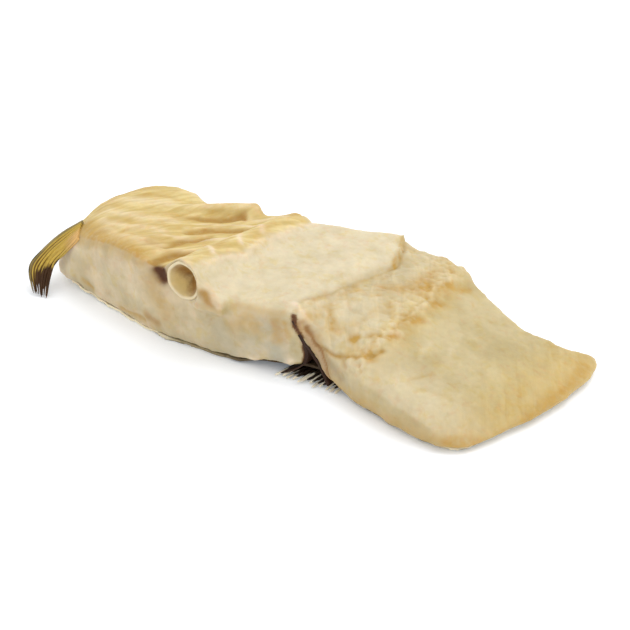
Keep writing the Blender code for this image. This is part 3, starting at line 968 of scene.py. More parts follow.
@dataclass
class Flesh:
    """The split and opened meat, with the membranes that lie on it."""

    voxel: float = 0.84
    cover_from: tuple[float, float, float] = (-21.0, -53.6, 32.0)
    cover_to: tuple[float, float, float] = (-24.0, 17.6, 24.6)
    cover_rise: float = 12.25
    cover_swell: float = 0.03
    cover_sink: float = 3.0
    cover_spread: float = 12.2
    cover_half: float = 20.0
    cover_setback: float = 0.6
    bore_from: tuple[float, float, float] = (-20.8, -60.0, 32.6)
    bore_to: tuple[float, float, float] = (-21.3, -47.1, 31.3)
    bore_radius: float = 7.9
    bone_pitch: float = 14.9
    lip_reach: float = 3.0
    step_drop: float = 3.4
    mark_sway: float = 1.1
    finish: FleshFinish = field(default_factory=FleshFinish)

    # Where the membrane ends, and where the far flank begins: x against y.
    membrane_edge: Path = ((-60, -17.5), (-49, -17), (-31, -16.2), (-27, -14.8),
                           (-16, -16.5), (-7, -17.5), (4, -17), (17, -16.5), (30, -14))
    crease: Path = ((-45, 24.5), (-38, 22.5), (-30.7, 20.5), (-19.8, 23), (1, 24.0),
                    (18, 25.6), (22, 25.2), (30, 21.2), (40, 15.2), (45, 11.7))
    septum: Path = ((-50, 59), (-15, 57), (13, 53), (42, 46))
    # Where the front cut lies: y against x.
    front_cut: Path = ((-105, -53), (-58, -56), (-42, -56.5), (-28, -54.5), (-12, -51.5),
                       (0, -49), (12, -45.5), (20, -42.5), (25.5, -40), (34, -36.5),
                       (42, -37.2), (62, -40.3), (88, -41.6), (98, -40.4), (110, -35.5))
    back_cut: Path = ((-75, 3), (-58, 2.5), (-42, 9), (-28, 21), (-12, 25.5), (0, 33))
    roll_tip: tuple[float, float, float] = (-37.2, 5.6, 34.8)
    cleft: Path = ((41.5, -2), (39, 2.6), (34.6, 9), (30.6, 15.2), (27.6, 20.6),
                   (24.2, 26.8), (25.4, 22), (28, 17), (29.4, 12), (28.4, 7.6),
                   (24.6, 3.8), (19, 1))
    # The slit above the gap and the lip beside the first bone, both seen from the front,
    # and the brink where the front cut turns over into the top.
    slit: Path = ((22.8, 29.6), (24.2, 26.8), (25.6, 23.6), (28.2, 19.6))
    lip: Path = ((-11.8, 39), (-10.2, 35), (-10.4, 30), (-13, 25.5))
    brink: Path = ((-8, -51, 31), (6, -47.5, 30.5), (18, -43.5, 29.5))

    def strokes(self) -> list[Stroke]:
        """The marks that the drying and the knife left, one by one.

        Returns:
            The marks, in the order in which they are worked in.
        """
        top, front, back, every = Side.TOP, Side.FRONT, Side.BACK, Side.ALL
        ochre, blush, pale = Tone.OCHRE, Tone.BLUSH, Tone.PALE
        grey, rust, blood = Tone.GREY, Tone.RUST, Tone.BLOOD
        return [
            # Ridges that end in a bend over the backbone: pale pink, with a painted highlight
            # along their crests.
            Stroke(top, ((-20, -39), (-28, -34.5), (-34, -38), (-40, -44)), 1.3, 0.4,
                   ((blush, 0.85),), 0.7),
            Stroke(top, ((-19.5, -23), (-26, -18.5), (-33, -24.5), (-41, -33), (-52, -40)),
                   1.3, 0.4, ((blush, 0.85),), 0.7),
            Stroke(top, ((-20.5, -10), (-26, -4.5), (-33, -6), (-41, -12), (-50, -21)),
                   1.3, 0.4, ((blush, 0.8),), 0.7),
            Stroke(top, ((-24, 9), (-31, 2), (-40, -5.5)), 1.3, 0.4, ((blush, 0.6),), 0.6),
            Stroke(every, ((-36.8, 5.8, 34.4),), 3.4, 1.5, ((ochre, 0.6),)),
            # Broad folds of membrane that sweep on over the belly side.
            Stroke(top, ((-46, -44), (-60, -49), (-76, -48)), 3.0, 0.15, ((blush, 0.4),)),
            Stroke(top, ((-54, -35), (-68, -42), (-82, -43)), 2.6, 0.15, ((blush, 0.4),)),
            Stroke(top, ((-56, -25), (-70, -33), (-86, -37)), 2.6, 0.15, ((blush, 0.35),)),
            Stroke(top, ((-70, -16), (-80, -22), (-90, -28)), 3.0, 0.2, ((blush, 0.35),)),
            # Sunken places between the ridges and under the roll: ochre stain with painted shade
            # in them.
            Stroke(top, ((-31, -38), (-35, -42.5), (-38.5, -47.5), (-39.5, -52)), 1.9, -2.1,
                   ((ochre, 1.1), (rust, 0.35)), 0.2),
            Stroke(top, ((-36.5, -24), (-38.5, -29.5), (-41, -35.5), (-43, -42)), 1.8, -1.9,
                   ((ochre, 1.0), (rust, 0.35)), 0.5),
            Stroke(top, ((-29.5, -9.5), (-33.5, -12.5), (-38, -16.5), (-42.5, -21.5),
                         (-46, -28)), 1.8, -1.9, ((ochre, 1.1), (rust, 0.30)), 0.5),
            Stroke(top, ((-38.5, -2.5), (-43.5, -8), (-47.5, -12.5), (-54, -18), (-60, -22)),
                   1.5, -1.5, ((ochre, 1.0), (rust, 0.35)), 0.6),
            Stroke(top, ((-45, -39), (-58, -45), (-74, -46)), 2.0, -0.15, ((ochre, 0.4),), 0.4),
            Stroke(top, ((-50, -28), (-64, -36), (-80, -40)), 2.0, -0.15, ((ochre, 0.4),), 0.4),
            Stroke(top, ((-60, -20), (-74, -28), (-88, -33)), 1.8, -0.15, ((ochre, 0.4),), 0.4),
            Stroke(top, ((-72, -11), (-82, -16), (-92, -24)), 1.6, -0.15, ((ochre, 0.35),), 0.4),
            # Round the backbone: the blood channel, a dark hole of blood stain and painted shade,
            # the nerve channel and torn edges.
            Stroke(every, ((-36.2, -54, 32), (-34.2, -53.5, 30), (-33.2, -53, 28.4)), 2.3,
                   -1.5, ((blood, 2.2), (rust, 1.6)), 0.2),
            Stroke(every, ((-36, -54, 29.5), (-33, -54, 25)), 3.0, -0.2, ((rust, 0.22),)),
            Stroke(every, ((-41, -53.5, 33.2), (-38, -53, 33)), 1.3, 0.1, ((ochre, 1.0),)),
            Stroke(every, ((-8.8, -55.6, 32.2), (-7, -55.3, 29.8), (-5, -54.5, 27.6)), 1.8, -0.4,
                   ((ochre, 1.0), (rust, 0.5)), 0.3),
            Stroke(every, ((-10, -51.8, 33.7), (-5.3, -53.1, 31.1), (-1.9, -53.3, 28.1)), 1.4, 0.4,
                   ((blush, 0.8), (ochre, 0.35))),
            Stroke(front, ((-38, 26), (-36, 20), (-31, 14)), 5.0, -0.3,
                   ((ochre, 0.40), (rust, 0.10))),
            Stroke(top, ((-16.5, -47), (-15.6, -31), (-14.6, -26), (-16.2, -16), (-17, -6),
                         (-16.6, 4), (-16, 17)), 1.6, 0.5, ((blush, 0.45),)),
            Stroke(top, ((-24, -33), (-25, -27)), 2.6, 0.0, ((ochre, 0.5),)),
            Stroke(top, ((-22, -14), (-21, -6)), 3.0, 0.0, ((ochre, 0.4),)),
            Stroke(top, ((-27, 9), (-24, 16)), 4.0, 0.0, ((ochre, 0.5),)),
            # The hump and its stained rim.
            Stroke(top, ((-92, -36), (-94, -24), (-90, -12)), 3.5, 0.2, ((ochre, 0.5),)),
            Stroke(top, ((-93, -46), (-80, -51), (-60, -53.5), (-46, -53)), 5.0, 0.0,
                   ((ochre, 0.85),)),
            Stroke(top, ((-50, -44.5), (-38, -43.5)), 2.8, -0.2, ((ochre, 0.45), (rust, 0.08))),
            Stroke(top, ((-60, -10), (-50, -3), (-38, 7.5)), 1.6, 0.0, ((ochre, 0.35),)),
            # The seam of the back and the step at its far end.
            Stroke(top, ((20.2, -31), (23, -20), (24.2, 1), (25.4, 18)), 1.2, -0.5,
                   ((ochre, 0.25), (grey, 0.2))),
            # A painted highlight on the brink above the slit.
            Stroke(top, ((20, -34), (26, -35.5)), 1.3, 0.4, ((blush, 0.7),)),
            Stroke(every, ((27, -34, 28), (34, -30, 28)), 2.6, 0.0, ((ochre, 0.5),)),
            Stroke(front, ((-6, 27), (8, 27.5), (19, 27)), 3.4, 0.0,
                   ((ochre, 0.25), (Tone.MEMBRANE, 0.5))),
            Stroke(every, ((21.5, -41.5, 25), (23, -40, 19)), 1.4, 0.0, ((ochre, 0.7),)),
            Stroke(front, ((36, 13), (44, 11), (52, 8)), 3.2, -0.2, ((grey, 0.35),)),
            Stroke(every, ((25.6, 20, 25.5), (21.5, 28.5, 26), (14.5, 39, 26)), 1.2, -0.4,
                   ((ochre, 0.85),)),
            # Membranes that line the gap show as thin lines beside it.
            Stroke(front, ((27, 25), (31, 18.5), (36, 11), (42, 4)), 2.6, 0.0, ((rust, 0.6),)),
            Stroke(front, ((27.6, 25), (30.6, 20.2), (33.8, 14.8), (37.8, 8.6), (42, 3)), 0.7,
                   0.3, ((blush, 0.5),)),
            Stroke(front, ((29.4, 24), (32.4, 19.6), (35.8, 14.4), (39.8, 8.6), (44.4, 3)), 0.9,
                   -0.5, ((rust, 1.0),)),
            Stroke(front, ((33, 21), (35.6, 17), (38.8, 13), (43, 8)), 0.8, -0.3,
                   ((rust, 0.3), (ochre, 0.3))),
            # Stained pits where the backbone was torn from the far flank.
            Stroke(top, ((44.5, -28.5), (46, -27)), 1.4, -0.6, ((ochre, 0.75),)),
            Stroke(top, ((50, -25), (53, -22)), 1.4, -0.3, ((ochre, 0.4),)),
            Stroke(top, ((56, -20.5), (57.5, -17)), 1.7, -0.6, ((ochre, 0.7),)),
            Stroke(top, ((55.5, -5), (57, -2)), 2.0, -0.7, ((ochre, 0.85),)),
            Stroke(top, ((56, 3), (55, 8)), 1.6, -0.3, ((ochre, 0.4),)),
            Stroke(top, ((54, 10), (56, 13)), 2.2, -0.6, ((ochre, 0.7),)),
            Stroke(top, ((51, 25), (55, 30)), 2.2, -0.4, ((ochre, 0.6),)),
            Stroke(top, ((36, 4), (44, 14), (42, 24)), 4.5, -0.3, ((ochre, 0.4), (rust, 0.1))),
            Stroke(top, ((28, -24), (36, -29)), 2.4, -0.4, ((ochre, 0.45),)),
            Stroke(top, ((27, -12), (34, -8)), 3.0, 0.3, ((pale, 0.5),)),
            Stroke(every, ((34, -36, 17), (40, -36, 16), (46.6, -34.7, 15.7),
                           (55, -32.5, 18), (57.5, -27, 20.5)), 1.2, -0.9,
                   ((ochre, 0.75), (rust, 0.25))),
            Stroke(front, ((40, 12.5), (47, 9.5)), 2.4, -0.2, ((rust, 0.25), (grey, 0.3))),
            # Creases and pale streaks on the far belly.
            Stroke(top, ((78.3, -23.1), (74.8, -29.4)), 0.9, -0.5, ((ochre, 0.35),)),
            Stroke(top, ((80, -31), (92, -26), (104, -20)), 1.0, -0.25, ((ochre, 0.15),), 0.5),
            Stroke(top, ((84, -37), (98, -30), (108, -24)), 1.0, 0.2, ((pale, 0.25),), 0.5),
            Stroke(top, ((70, -20), (66, -8)), 1.2, 0.2, ((pale, 0.25),)),
            Stroke(top, ((76, -8), (71, 5)), 1.2, 0.2, ((pale, 0.25),)),
            Stroke(top, ((62, -33), (76, -38), (88, -39.5)), 2.0, 0.3, ((pale, 0.55),)),
            Stroke(top, ((50, -35.5), (58, -35)), 2.0, 0.3, ((pale, 0.6),)),
            Stroke(every, ((105.2, -0.4, 7),), 0.9, 0.3, ((blush, 1.0),)),
            Stroke(every, ((97, -40, 4), (112, -25, 4), (113, -5, 5), (113, 15, 6),
                           (110, 35, 6)), 3.0, 0.0, ((ochre, 0.55),)),
            Stroke(every, ((42, -38, 3), (60, -41, 3.5), (80, -42, 3), (97, -40, 3)), 5.0, 0.0,
                   ((ochre, 0.5), (rust, 0.10))),
            Stroke(every, ((44, -34, 14), (56, -37, 12.5), (74, -39, 10), (92, -38, 8)), 1.3,
                   0.25, ((blush, 0.6),)),
            # The front cut: a pink rim, clear places and a brown middle.
            Stroke(every, ((-97, -53.4, 3), (-101, -52.7, 4), (-102, -51.8, 9),
                           (-99.5, -52, 14), (-95, -52.4, 18.5), (-89, -53, 23.5)), 2.2, 0.5,
                   ((blush, 1.0),)),
            # Painted light on the lobe at the left end, which lies in the fin's shade.
            Stroke(every, ((-98, -53, 8), (-92, -54, 14), (-86, -54, 20)), 5.5, 0.0,
                   ((pale, 0.9), (Tone.MEMBRANE, 0.9), (ochre, 0.10))),
            Stroke(front, ((-90, 14), (-82, 18)), 5.0, -0.2, ((ochre, 0.2), (pale, 0.2))),
            Stroke(front, ((-92, 3.6), (-86, 3.4)), 0.9, -0.6, ((ochre, 0.4), (blood, 0.4))),
            Stroke(front, ((-84, 8), (-78, 6.5)), 1.2, -0.5, ((ochre, 0.85),)),
            Stroke(front, ((-60, 4), (-50, 4.5), (-44, 5)), 1.5, -0.9, ((ochre, 0.7),)),
            Stroke(front, ((-42, 8.5), (-37, 6.5)), 2.0, -0.4, ((rust, 0.4), (ochre, 0.5))),
            Stroke(front, ((-92, 24), (-74, 29), (-56, 32), (-44, 32)), 2.4, 0.0,
                   ((ochre, 0.45),)),
            Stroke(front, ((-8, 26), (10, 27), (20, 28)), 2.4, 0.0, ((ochre, 0.4),)),
            Stroke(front, ((-5, 14), (-1, 6)), 5.0, -0.3, ((grey, 0.35),)),
            Stroke(front, ((16, 22), (19, 12), (19, 4)), 6.0, 0.0, ((grey, 0.45),)),
            Stroke(front, ((18, 13), (20, 5)), 4.2, 0.3, ((grey, 0.8),)),
            Stroke(front, ((8, 3.5), (14, 2.2), (20, 2.8), (24, 8)), 1.6, 0.9, ((blush, 0.7),)),
            Stroke(front, ((6, 8), (12, 13)), 4.5, -0.2, ((grey, 0.4),)),
            Stroke(front, ((0, 18), (8, 24), (10, 18)), 3.4, -0.2, ((ochre, 0.45),)),
            Stroke(front, ((18, 25), (19.5, 17)), 2.4, -0.2, ((ochre, 0.6), (rust, 0.1))),
            Stroke(front, ((-70, 17), (-50, 17), (-36, 15)), 5.0, 0.2, ((pale, 0.3),)),
            Stroke(front, ((-24, 11), (-14, 9)), 5.0, 0.2, ((pale, 0.35),)),
            # The back cut has the same history.
            Stroke(back, ((-80, 22), (-60, 20)), 6.0, 0.2, ((pale, 0.3),)),
            Stroke(back, ((-20, 14), (0, 12)), 6.0, -0.3, ((grey, 0.4),)),
            Stroke(back, ((-90, 29), (-60, 31), (-34, 31)), 2.2, 0.0, ((ochre, 0.35),)),
            Stroke(back, ((-12, 29), (15, 27)), 2.2, 0.0, ((ochre, 0.3),)),
            Stroke(back, ((32, 21), (60, 18), (90, 11)), 2.4, 0.0, ((ochre, 0.4),)),
        ]

    def cover(self) -> bpy.types.Object:
        """The membrane that is drawn over the backbone behind its first ring.

        Returns:
            A helper object, which reaches down into the flesh.
        """
        start, end = np.array(self.cover_from), np.array(self.cover_to)
        share = np.linspace(0.0, 1.0, 60)
        line = start + (end - start) * share[:, None]
        along = share * np.linalg.norm(end - start)
        across = np.linspace(-self.cover_half, self.cover_half, 41)
        swell = 1.0 + self.cover_swell * np.cos(2 * math.pi * along / self.bone_pitch)
        bell = np.exp(-((across / self.cover_spread) ** 2))
        rows = np.zeros((len(line), len(across) + 2, 3))
        rows[:] = line[:, None]
        rows[:, :-2, 0] += across
        rows[:, :-2, 2] += self.cover_rise * swell[:, None] * bell - self.cover_sink
        rows[:, -2:, 0] += (self.cover_half, -self.cover_half)
        rows[:, -2:, 2] -= 3.0 * self.cover_sink
        room = keyed(self.back_cut, rows[:, :, 0]) - self.cover_setback
        room = np.minimum(room, end[1]) - start[1]
        rows[:, :, 1] = start[1] + (rows[:, :, 1] - start[1]) * (room / (end[1] - start[1]))
        return link("cover", swept("cover", rows))

    def bore(self) -> bpy.types.Object:
        """The room that the first bone takes at the cut."""
        line = np.linspace(self.bore_from, self.bore_to, 6)
        return link("bore", swept("bore", tube(line, self.bore_radius, 48)))

    def base(self) -> bpy.types.Object:
        """Makes the CAD flesh and the cover one fine, even surface.

        Returns:
            The piece, not yet worked.
        """
        cover, bore = self.cover(), self.bore()
        body = link("flesh_base", joined("flesh_base", (merged_copy("flesh"), cover.data)))
        for number in (1, 2):
            remesh = body.modifiers.new(f"even_{number}", "REMESH")
            remesh.mode, remesh.voxel_size = "VOXEL", self.voxel * MM
            if number == 1:
                hole = body.modifiers.new("bore", "BOOLEAN")
                hole.operation, hole.solver, hole.object = "DIFFERENCE", "EXACT", bore
        made = settle(body, "cod_flesh")
        for helper in (cover, bore):
            bpy.data.objects.remove(helper)
        return made

    def even_out(self, form: Sculpt) -> None:
        """Rounds the surface off, most of all round the backbone.

        Args:
            form: The surface, changed in place.
        """
        form.smooth(12)
        form.smooth(4, keep_size=False)
        over_bones = near(form.at, (self.cover_from, self.cover_to), 17.0, 4)
        over_bones *= ease(20.0, 28.0, form.at[:, 2]) * ease(-50.0, -44.0, form.at[:, 1])
        form.smooth(26, keep_size=False, share=over_bones)
        form.smooth(22, keep_size=False, share=near(form.at, (self.roll_tip,), 5.0, 4))
        lip = near(form.at[:, (0, 2)], self.lip, 4.2)
        from_bone, _ = from_path(form.at, (self.bore_from, self.bore_to))
        lip *= ease(7.6, 10.6, from_bone) * ease(-44.0, -48.0, form.at[:, 1])
        form.at[:, 1] -= self.lip_reach * lip
        form.smooth(24, keep_size=False, share=near(form.at, self.brink, 4.5))

    def relief(self, zones: Zones) -> np.ndarray:
        """The grain of the crust, the flakes and the folds.

        Args:
            zones: Where each kind of surface lies.

        Returns:
            How far each point is pushed out, in millimetres.
        """
        at, sway, lumps, crumbs = zones.at, zones.sway, zones.lumps, zones.crumbs
        folds = clouds(turned(at, SPINE_HEADING, sway), (16.0, 1.6, 6.0), 7)
        flakes = clouds(turned(at, FLAKE_HEADING, sway), (22.0, 2.4, 8.0), 9)
        upright = clouds(at + 1.5 * sway, (1.8, 5.0, 14.0), 10)
        push = 0.30 * clouds(at, 13.0, 8) + 0.09 * crumbs
        push += zones.top * zones.west * (0.12 * folds + 0.14 * lumps)
        push += zones.top * zones.middle * (0.05 * flakes + 0.06 * lumps)
        push += zones.top * zones.dorsal * (0.40 * lumps + 0.34 * crumbs)
        push += zones.band * (0.35 * np.abs(lumps) + 0.36 * crumbs)
        push += zones.top * zones.belly * (0.20 * flakes + 0.16 * lumps
                                           + 0.22 * crumbs * ease(78.0, 95.0, at[:, 0]))
        push += zones.sliced * (0.36 * lumps + 0.10 * upright)
        return push

    def shade_gap_walls(self, zones: Zones, tints: dict[Tone, np.ndarray]) -> None:
        """Paints shade on the walls of the gap and of the slit above it, in dark red-brown tones.

        Args:
            zones: Where each kind of surface lies.
            tints: The shares of each tone, changed in place.
        """
        _, y, z = zones.at.T
        seen = zones.at[:, (0, 2)]
        gap = ease(1.5, 0.8, from_path(seen, self.cleft)[0])
        gap *= ease(0.55, 0.8, np.abs(zones.normals[:, 0])) * ease(22.0, 19.0, z)
        slit = ease(1.0, 0.5, from_path(seen, self.slit)[0])
        slit *= zones.facing[Side.FRONT] * zones.at_front
        # Painted shade deep in the gap and the slit.
        dark = np.maximum(gap, slit) * ease(-12.0, -17.0, y)
        tints[Tone.RUST] = np.maximum(tints[Tone.RUST], dark)
        tints[Tone.BLOOD] = np.maximum(tints[Tone.BLOOD], 0.9 * dark)

    def stain_and_painted_light(self, zones: Zones, sunk: np.ndarray, tints: dict[Tone, np.ndarray]) -> None:
        """Tints whole zones as they dried; the ochre that deepens in hollows is stain and painted
        shade, and the pink on what stands proud is painted highlight.

        Args:
            zones: Where each kind of surface lies.
            sunk: How far each point lies below its surroundings.
            tints: The shares of each tone, changed in place.
        """
        top, west, dorsal, belly = zones.top, zones.west, zones.dorsal, zones.belly
        x, y, z = zones.at.T
        blotches = clouds(zones.at, (7.0, 11.0, 7.0), 12, 3.0)
        far_end = x + 4.0 * zones.sway[:, 1]
        # Ochre stain that deepens where a point lies sunk: partly painted shade in the hollows.
        tints[Tone.OCHRE] += (
            top * dorsal * np.clip(0.10 + 0.5 * sunk + 0.32 * blotches, 0.0, 0.45)
            + zones.band * np.clip(0.32 + 0.5 * blotches + 0.5 * sunk, 0.0, 0.65)
            + top * west * np.clip(0.5 * sunk + 0.24 * blotches, 0.0, 0.5)
            + belly * 0.30 * ease(90.0, 108.0, far_end))
        # Painted highlight, in pink, on the folds that stand proud.
        blush = np.clip(-1.1 * sunk - 0.15, 0.0, 0.28)
        upward = ease(0.1, 0.9, zones.normals[:, 2])
        for tone, share in (
            (Tone.MEMBRANE, west * np.maximum(top, ease(29.0, 33.0, z) * 0.8)),
            (Tone.MEMBRANE, 0.45 * belly * ease(84.0, 106.0, far_end)),
            (Tone.MEMBRANE, 0.5 * zones.band),
            (Tone.CUT, zones.sliced * (1.0 - 0.75 * zones.east)),
            (Tone.PALE, upward * zones.middle * np.clip(0.85 + 0.3 * zones.lumps, 0.4, 1.0)),
            (Tone.PALE, top * dorsal * (0.45 + 0.25 * ease(0.0, -20.0, y))),
            (Tone.PALE, top * belly * 0.5 * ease(-14.0, -34.0, y)),
            (Tone.BLUSH, blush * west * top),
        ):
            tints[tone] = np.maximum(tints[tone], share)

    def work(self, form: Sculpt) -> None:
        """Pushes and paints the even surface.

        Args:
            form: The surface, changed in place.
        """
        zones = Zones(self, form)
        push = self.relief(zones)
        swayed = zones.at + self.mark_sway * zones.sway
        tints = {tone: np.zeros(len(push)) for tone in Tone}
        for stroke in self.strokes():
            share = stroke.reach(swayed, zones.facing[stroke.side])
            push += stroke.height * share
            for tone, amount in stroke.tint:
                tints[tone] = np.maximum(tints[tone], amount * share)
        form.at += zones.normals * push[:, None]
        x, y, _ = zones.at.T
        past = x - keyed(self.crease, y)
        cliff = ease(-0.4, 0.6, past) - ease(-2.4, 2.4, past)
        form.at[:, 2] -= self.step_drop * cliff * zones.top * ease(15.0, 22.0, y)
        form.smooth(1)
        self.shade_gap_walls(zones, tints)
        self.stain_and_painted_light(zones, form.hollows(10), tints)

        west, dorsal, belly = zones.west, zones.dorsal, zones.belly
        fields = {tone.value: np.clip(values, 0.0, 1.0) for tone, values in tints.items()}
        fields["west"] = west
        fields["wall"] = 1.0 - np.maximum(zones.top, zones.facing[Side.UNDER])
        fields["streaky"] = 0.10 + 0.4 * west + 0.4 * dorsal + 0.1 * belly
        fields["coarse"] = (0.10 + 0.35 * west + 0.70 * dorsal
                            + belly * (0.15 + 0.6 * ease(70.0, 95.0, x)))
        for name, values in fields.items():
            form.paint(name, values)

    def build(self) -> bpy.types.Object:
        """Shapes and tints the flesh.

        Returns:
            The finished piece.
        """
        piece = self.base()
        form = Sculpt(piece.data)
        self.even_out(form)
        self.work(form)
        form.write()
        return dressed(piece, self.finish.material())


@dataclass(frozen=True)
class BoneFinish:
    """Dried bone: an ivory rim, an ochre hollow painted in shade on one side and in light on the
    other, and a duller, streaked outside.
    """

    rim: Colour = (0.68, 0.575, 0.37)
    outside: Colour = (0.56, 0.43, 0.18)
    # The hollow's colour on its painted shade side, then on its painted lit side.
    hollow: Colour = (0.23, 0.105, 0.010)
    hollow_painted_lit: Colour = (0.54, 0.38, 0.125)

    def material(self) -> bpy.types.Material:
        """Builds the material from the bone's own attributes.

        Returns:
            The material.
        """
        made = Shader("dried_bone", Subsurface_Weight=0.25, Subsurface_Scale=0.0015,
                      Subsurface_Radius=(1.0, 0.7, 0.4))
        mottle = made.speckle(made.places, 260.0, 4.0, 0.6)
        # How far into the painted light a point of the hollow lies, with a little mottle.
        pale = made.math("ADD", made.attribute("lit"), made.levels(mottle, 0.3, 0.7, -0.1, 0.1))
        inside = made.blend(made.levels(pale, 0.15, 0.85), self.hollow, self.hollow_painted_lit)
        colour = made.layers(self.outside, (made.attribute("hollow"), inside),
                             (made.attribute("rim"), self.rim))
        colour = made.shaded(colour, made.levels(mottle, 0.2, 0.8, 0.9, 1.06))
        normal = made.raise_by(made.speckle(made.places, 1400.0, 3.0, 0.6), 0.12)
        return made.finish(Base_Color=colour, Normal=normal,
                           Roughness=made.levels(mottle, 0.2, 0.8, 0.42, 0.6))


@dataclass
class Backbone:
    """The row of hourglass bones, of which the first shows its ring at the cut."""

    count: int = 5
    front: tuple[float, float, float] = (-21.0, -54.2, 32.0)
    back: tuple[float, float, float] = (-24.0, 19.0, 24.4)
    rim: float = 8.1
    waist: float = 6.3
    wall: float = 1.0
    hollow: float = 6.6
    gap: float = 0.35
    around: int = 72
    inner_girth: float = 0.82
    roll: float = 2.0
    # The side of each hollow that is painted lit; the far side is painted in shade.
    lit_side: tuple[float, float, float] = (-0.75, 0.0, -0.66)
    finish: BoneFinish = field(default_factory=BoneFinish)

    def bone(self) -> bpy.types.Object:
        """One bone along +Y from the origin, with its attributes.

        Returns:
            A helper object in metres, not yet in its place.
        """
        length = self.pitch - self.gap
        inner = self.rim - self.wall
        # Of each ring: radius, depth from the end, share of rim and share of hollow.
        half = [(0.0, self.hollow, 0, 1), (inner * 0.35, self.hollow * 0.66, 0, 1),
                (inner * 0.7, self.hollow * 0.33, 0, 1), (inner * 0.93, 0.75, 0.2, 0.9),
                (inner, 0.22, 0.9, 0.4), (self.rim - 0.5, 0.0, 1, 0),
                (self.rim - 0.1, 0.25, 0.9, 0), (self.rim, 0.8, 0.35, 0),
                (self.rim - 0.2, 1.9, 0.1, 0), ((self.rim + self.waist) / 2.0, 3.4, 0, 0),
                (self.waist, 5.6, 0, 0)]
        rings = np.array(half + [(r, length - d, p, h) for r, d, p, h in reversed(half)])
        turn = np.linspace(0.0, 2.0 * math.pi, self.around, endpoint=False)
        rows = []
        for radius, depth, *_ in rings:
            wobble = 1.0 + 0.02 * np.sin(3 * turn + 0.7) + 0.012 * np.sin(7 * turn + depth)
            strut = 0.35 * np.maximum(np.sin(9 * turn), 0.0) if radius == self.waist else 0.0
            reach = np.maximum(radius * wobble + strut, 0.02)
            rows.append(np.stack([reach * np.cos(turn), np.full(self.around, depth),
                                  reach * np.sin(turn)], 1))
        mesh = swept("bone", np.array(rows))
        mesh.transform(Matrix.Translation(-Vector(DATUM.origin)))
        for name, values in (("rim", rings[:, 2]), ("hollow", rings[:, 3])):
            layer = mesh.attributes.new(name, "FLOAT", "POINT")
            layer.data.foreach_set("value", np.repeat(values, self.around).astype(np.float32))
        return link("bone", mesh)

    @property
    def pitch(self) -> float:
        """Distance from one bone to the next, in millimetres."""
        return float(np.linalg.norm(np.subtract(self.back, self.front))) / self.count

    def build(self) -> bpy.types.Object:
        """Sets the bones out along the column.

        Returns:
            The finished piece.
        """
        start, end = np.array(self.front), np.array(self.back)
        recipe = Recipe("bones_in_a_row")
        count = recipe.input("Bones", "Int")
        first = recipe.input("First", "Vector")
        step = recipe.input("Step", "Vector")
        bone = recipe.input("Bone", "Object")
        turn = recipe.input("Turn", "Vector")
        row = recipe.step("MeshLine", {"Count": count, "Start Location": first,
                                       "Offset": step})
        shape = recipe.step("ObjectInfo", {"Object": bone})
        wobble = recipe.step("FunctionNodeRandomValue",
                             {0: (0.0, -self.roll, 0.0), 1: (0.0, self.roll, 0.0),
                              "Seed": 11},
                             data_type="FLOAT_VECTOR")
        spin = recipe.step("ShaderNodeVectorMath", {0: turn, 1: wobble.outputs[0]},
                           operation="ADD")
        place = recipe.step("InputIndex")
        inner = recipe.step("ShaderNodeMath", {0: place.outputs[0], 1: 1.0},
                            operation="MINIMUM")
        girth = recipe.step("ShaderNodeMath",
                            {0: inner.outputs[0], 1: self.inner_girth - 1.0, 2: 1.0},
                            operation="MULTIPLY_ADD")
        size = recipe.step("ShaderNodeCombineXYZ",
                           {"X": girth.outputs[0], "Y": 1.0, "Z": girth.outputs[0]})
        bones = recipe.step("InstanceOnPoints", {
            "Points": row.outputs[0], "Instance": shape.outputs["Geometry"],
            "Rotation": spin.outputs[0], "Scale": size.outputs[0],
        })
        recipe.close(bones.outputs[0])
        tilt = Vector(end - start).to_track_quat("Y", "Z").to_euler()
        helper = self.bone()
        holder = link("column", bpy.data.meshes.new("column"))
        piece = recipe.grow(
            holder, "cod_backbone", Bones=self.count,
            First=tuple(DATUM.to_row(start)), Step=tuple((end - start) / self.count * MM),
            Bone=helper, Turn=tuple(tilt), Finish=self.finish.material(),
        )
        bpy.data.objects.remove(helper)
        form = Sculpt(piece.data)
        # Paints light and shade across each hollow by which side of the axis a point lies on.
        axis = start + (end - start) * ((form.at[:, 1] - start[1]) / (end - start)[1])[:, None]
        aside = (form.at - axis) @ np.array(self.lit_side)
        form.paint("lit", ease(-0.35 * self.rim, 0.85 * self.rim, aside))
        piece.data.shade_smooth()
        return piece


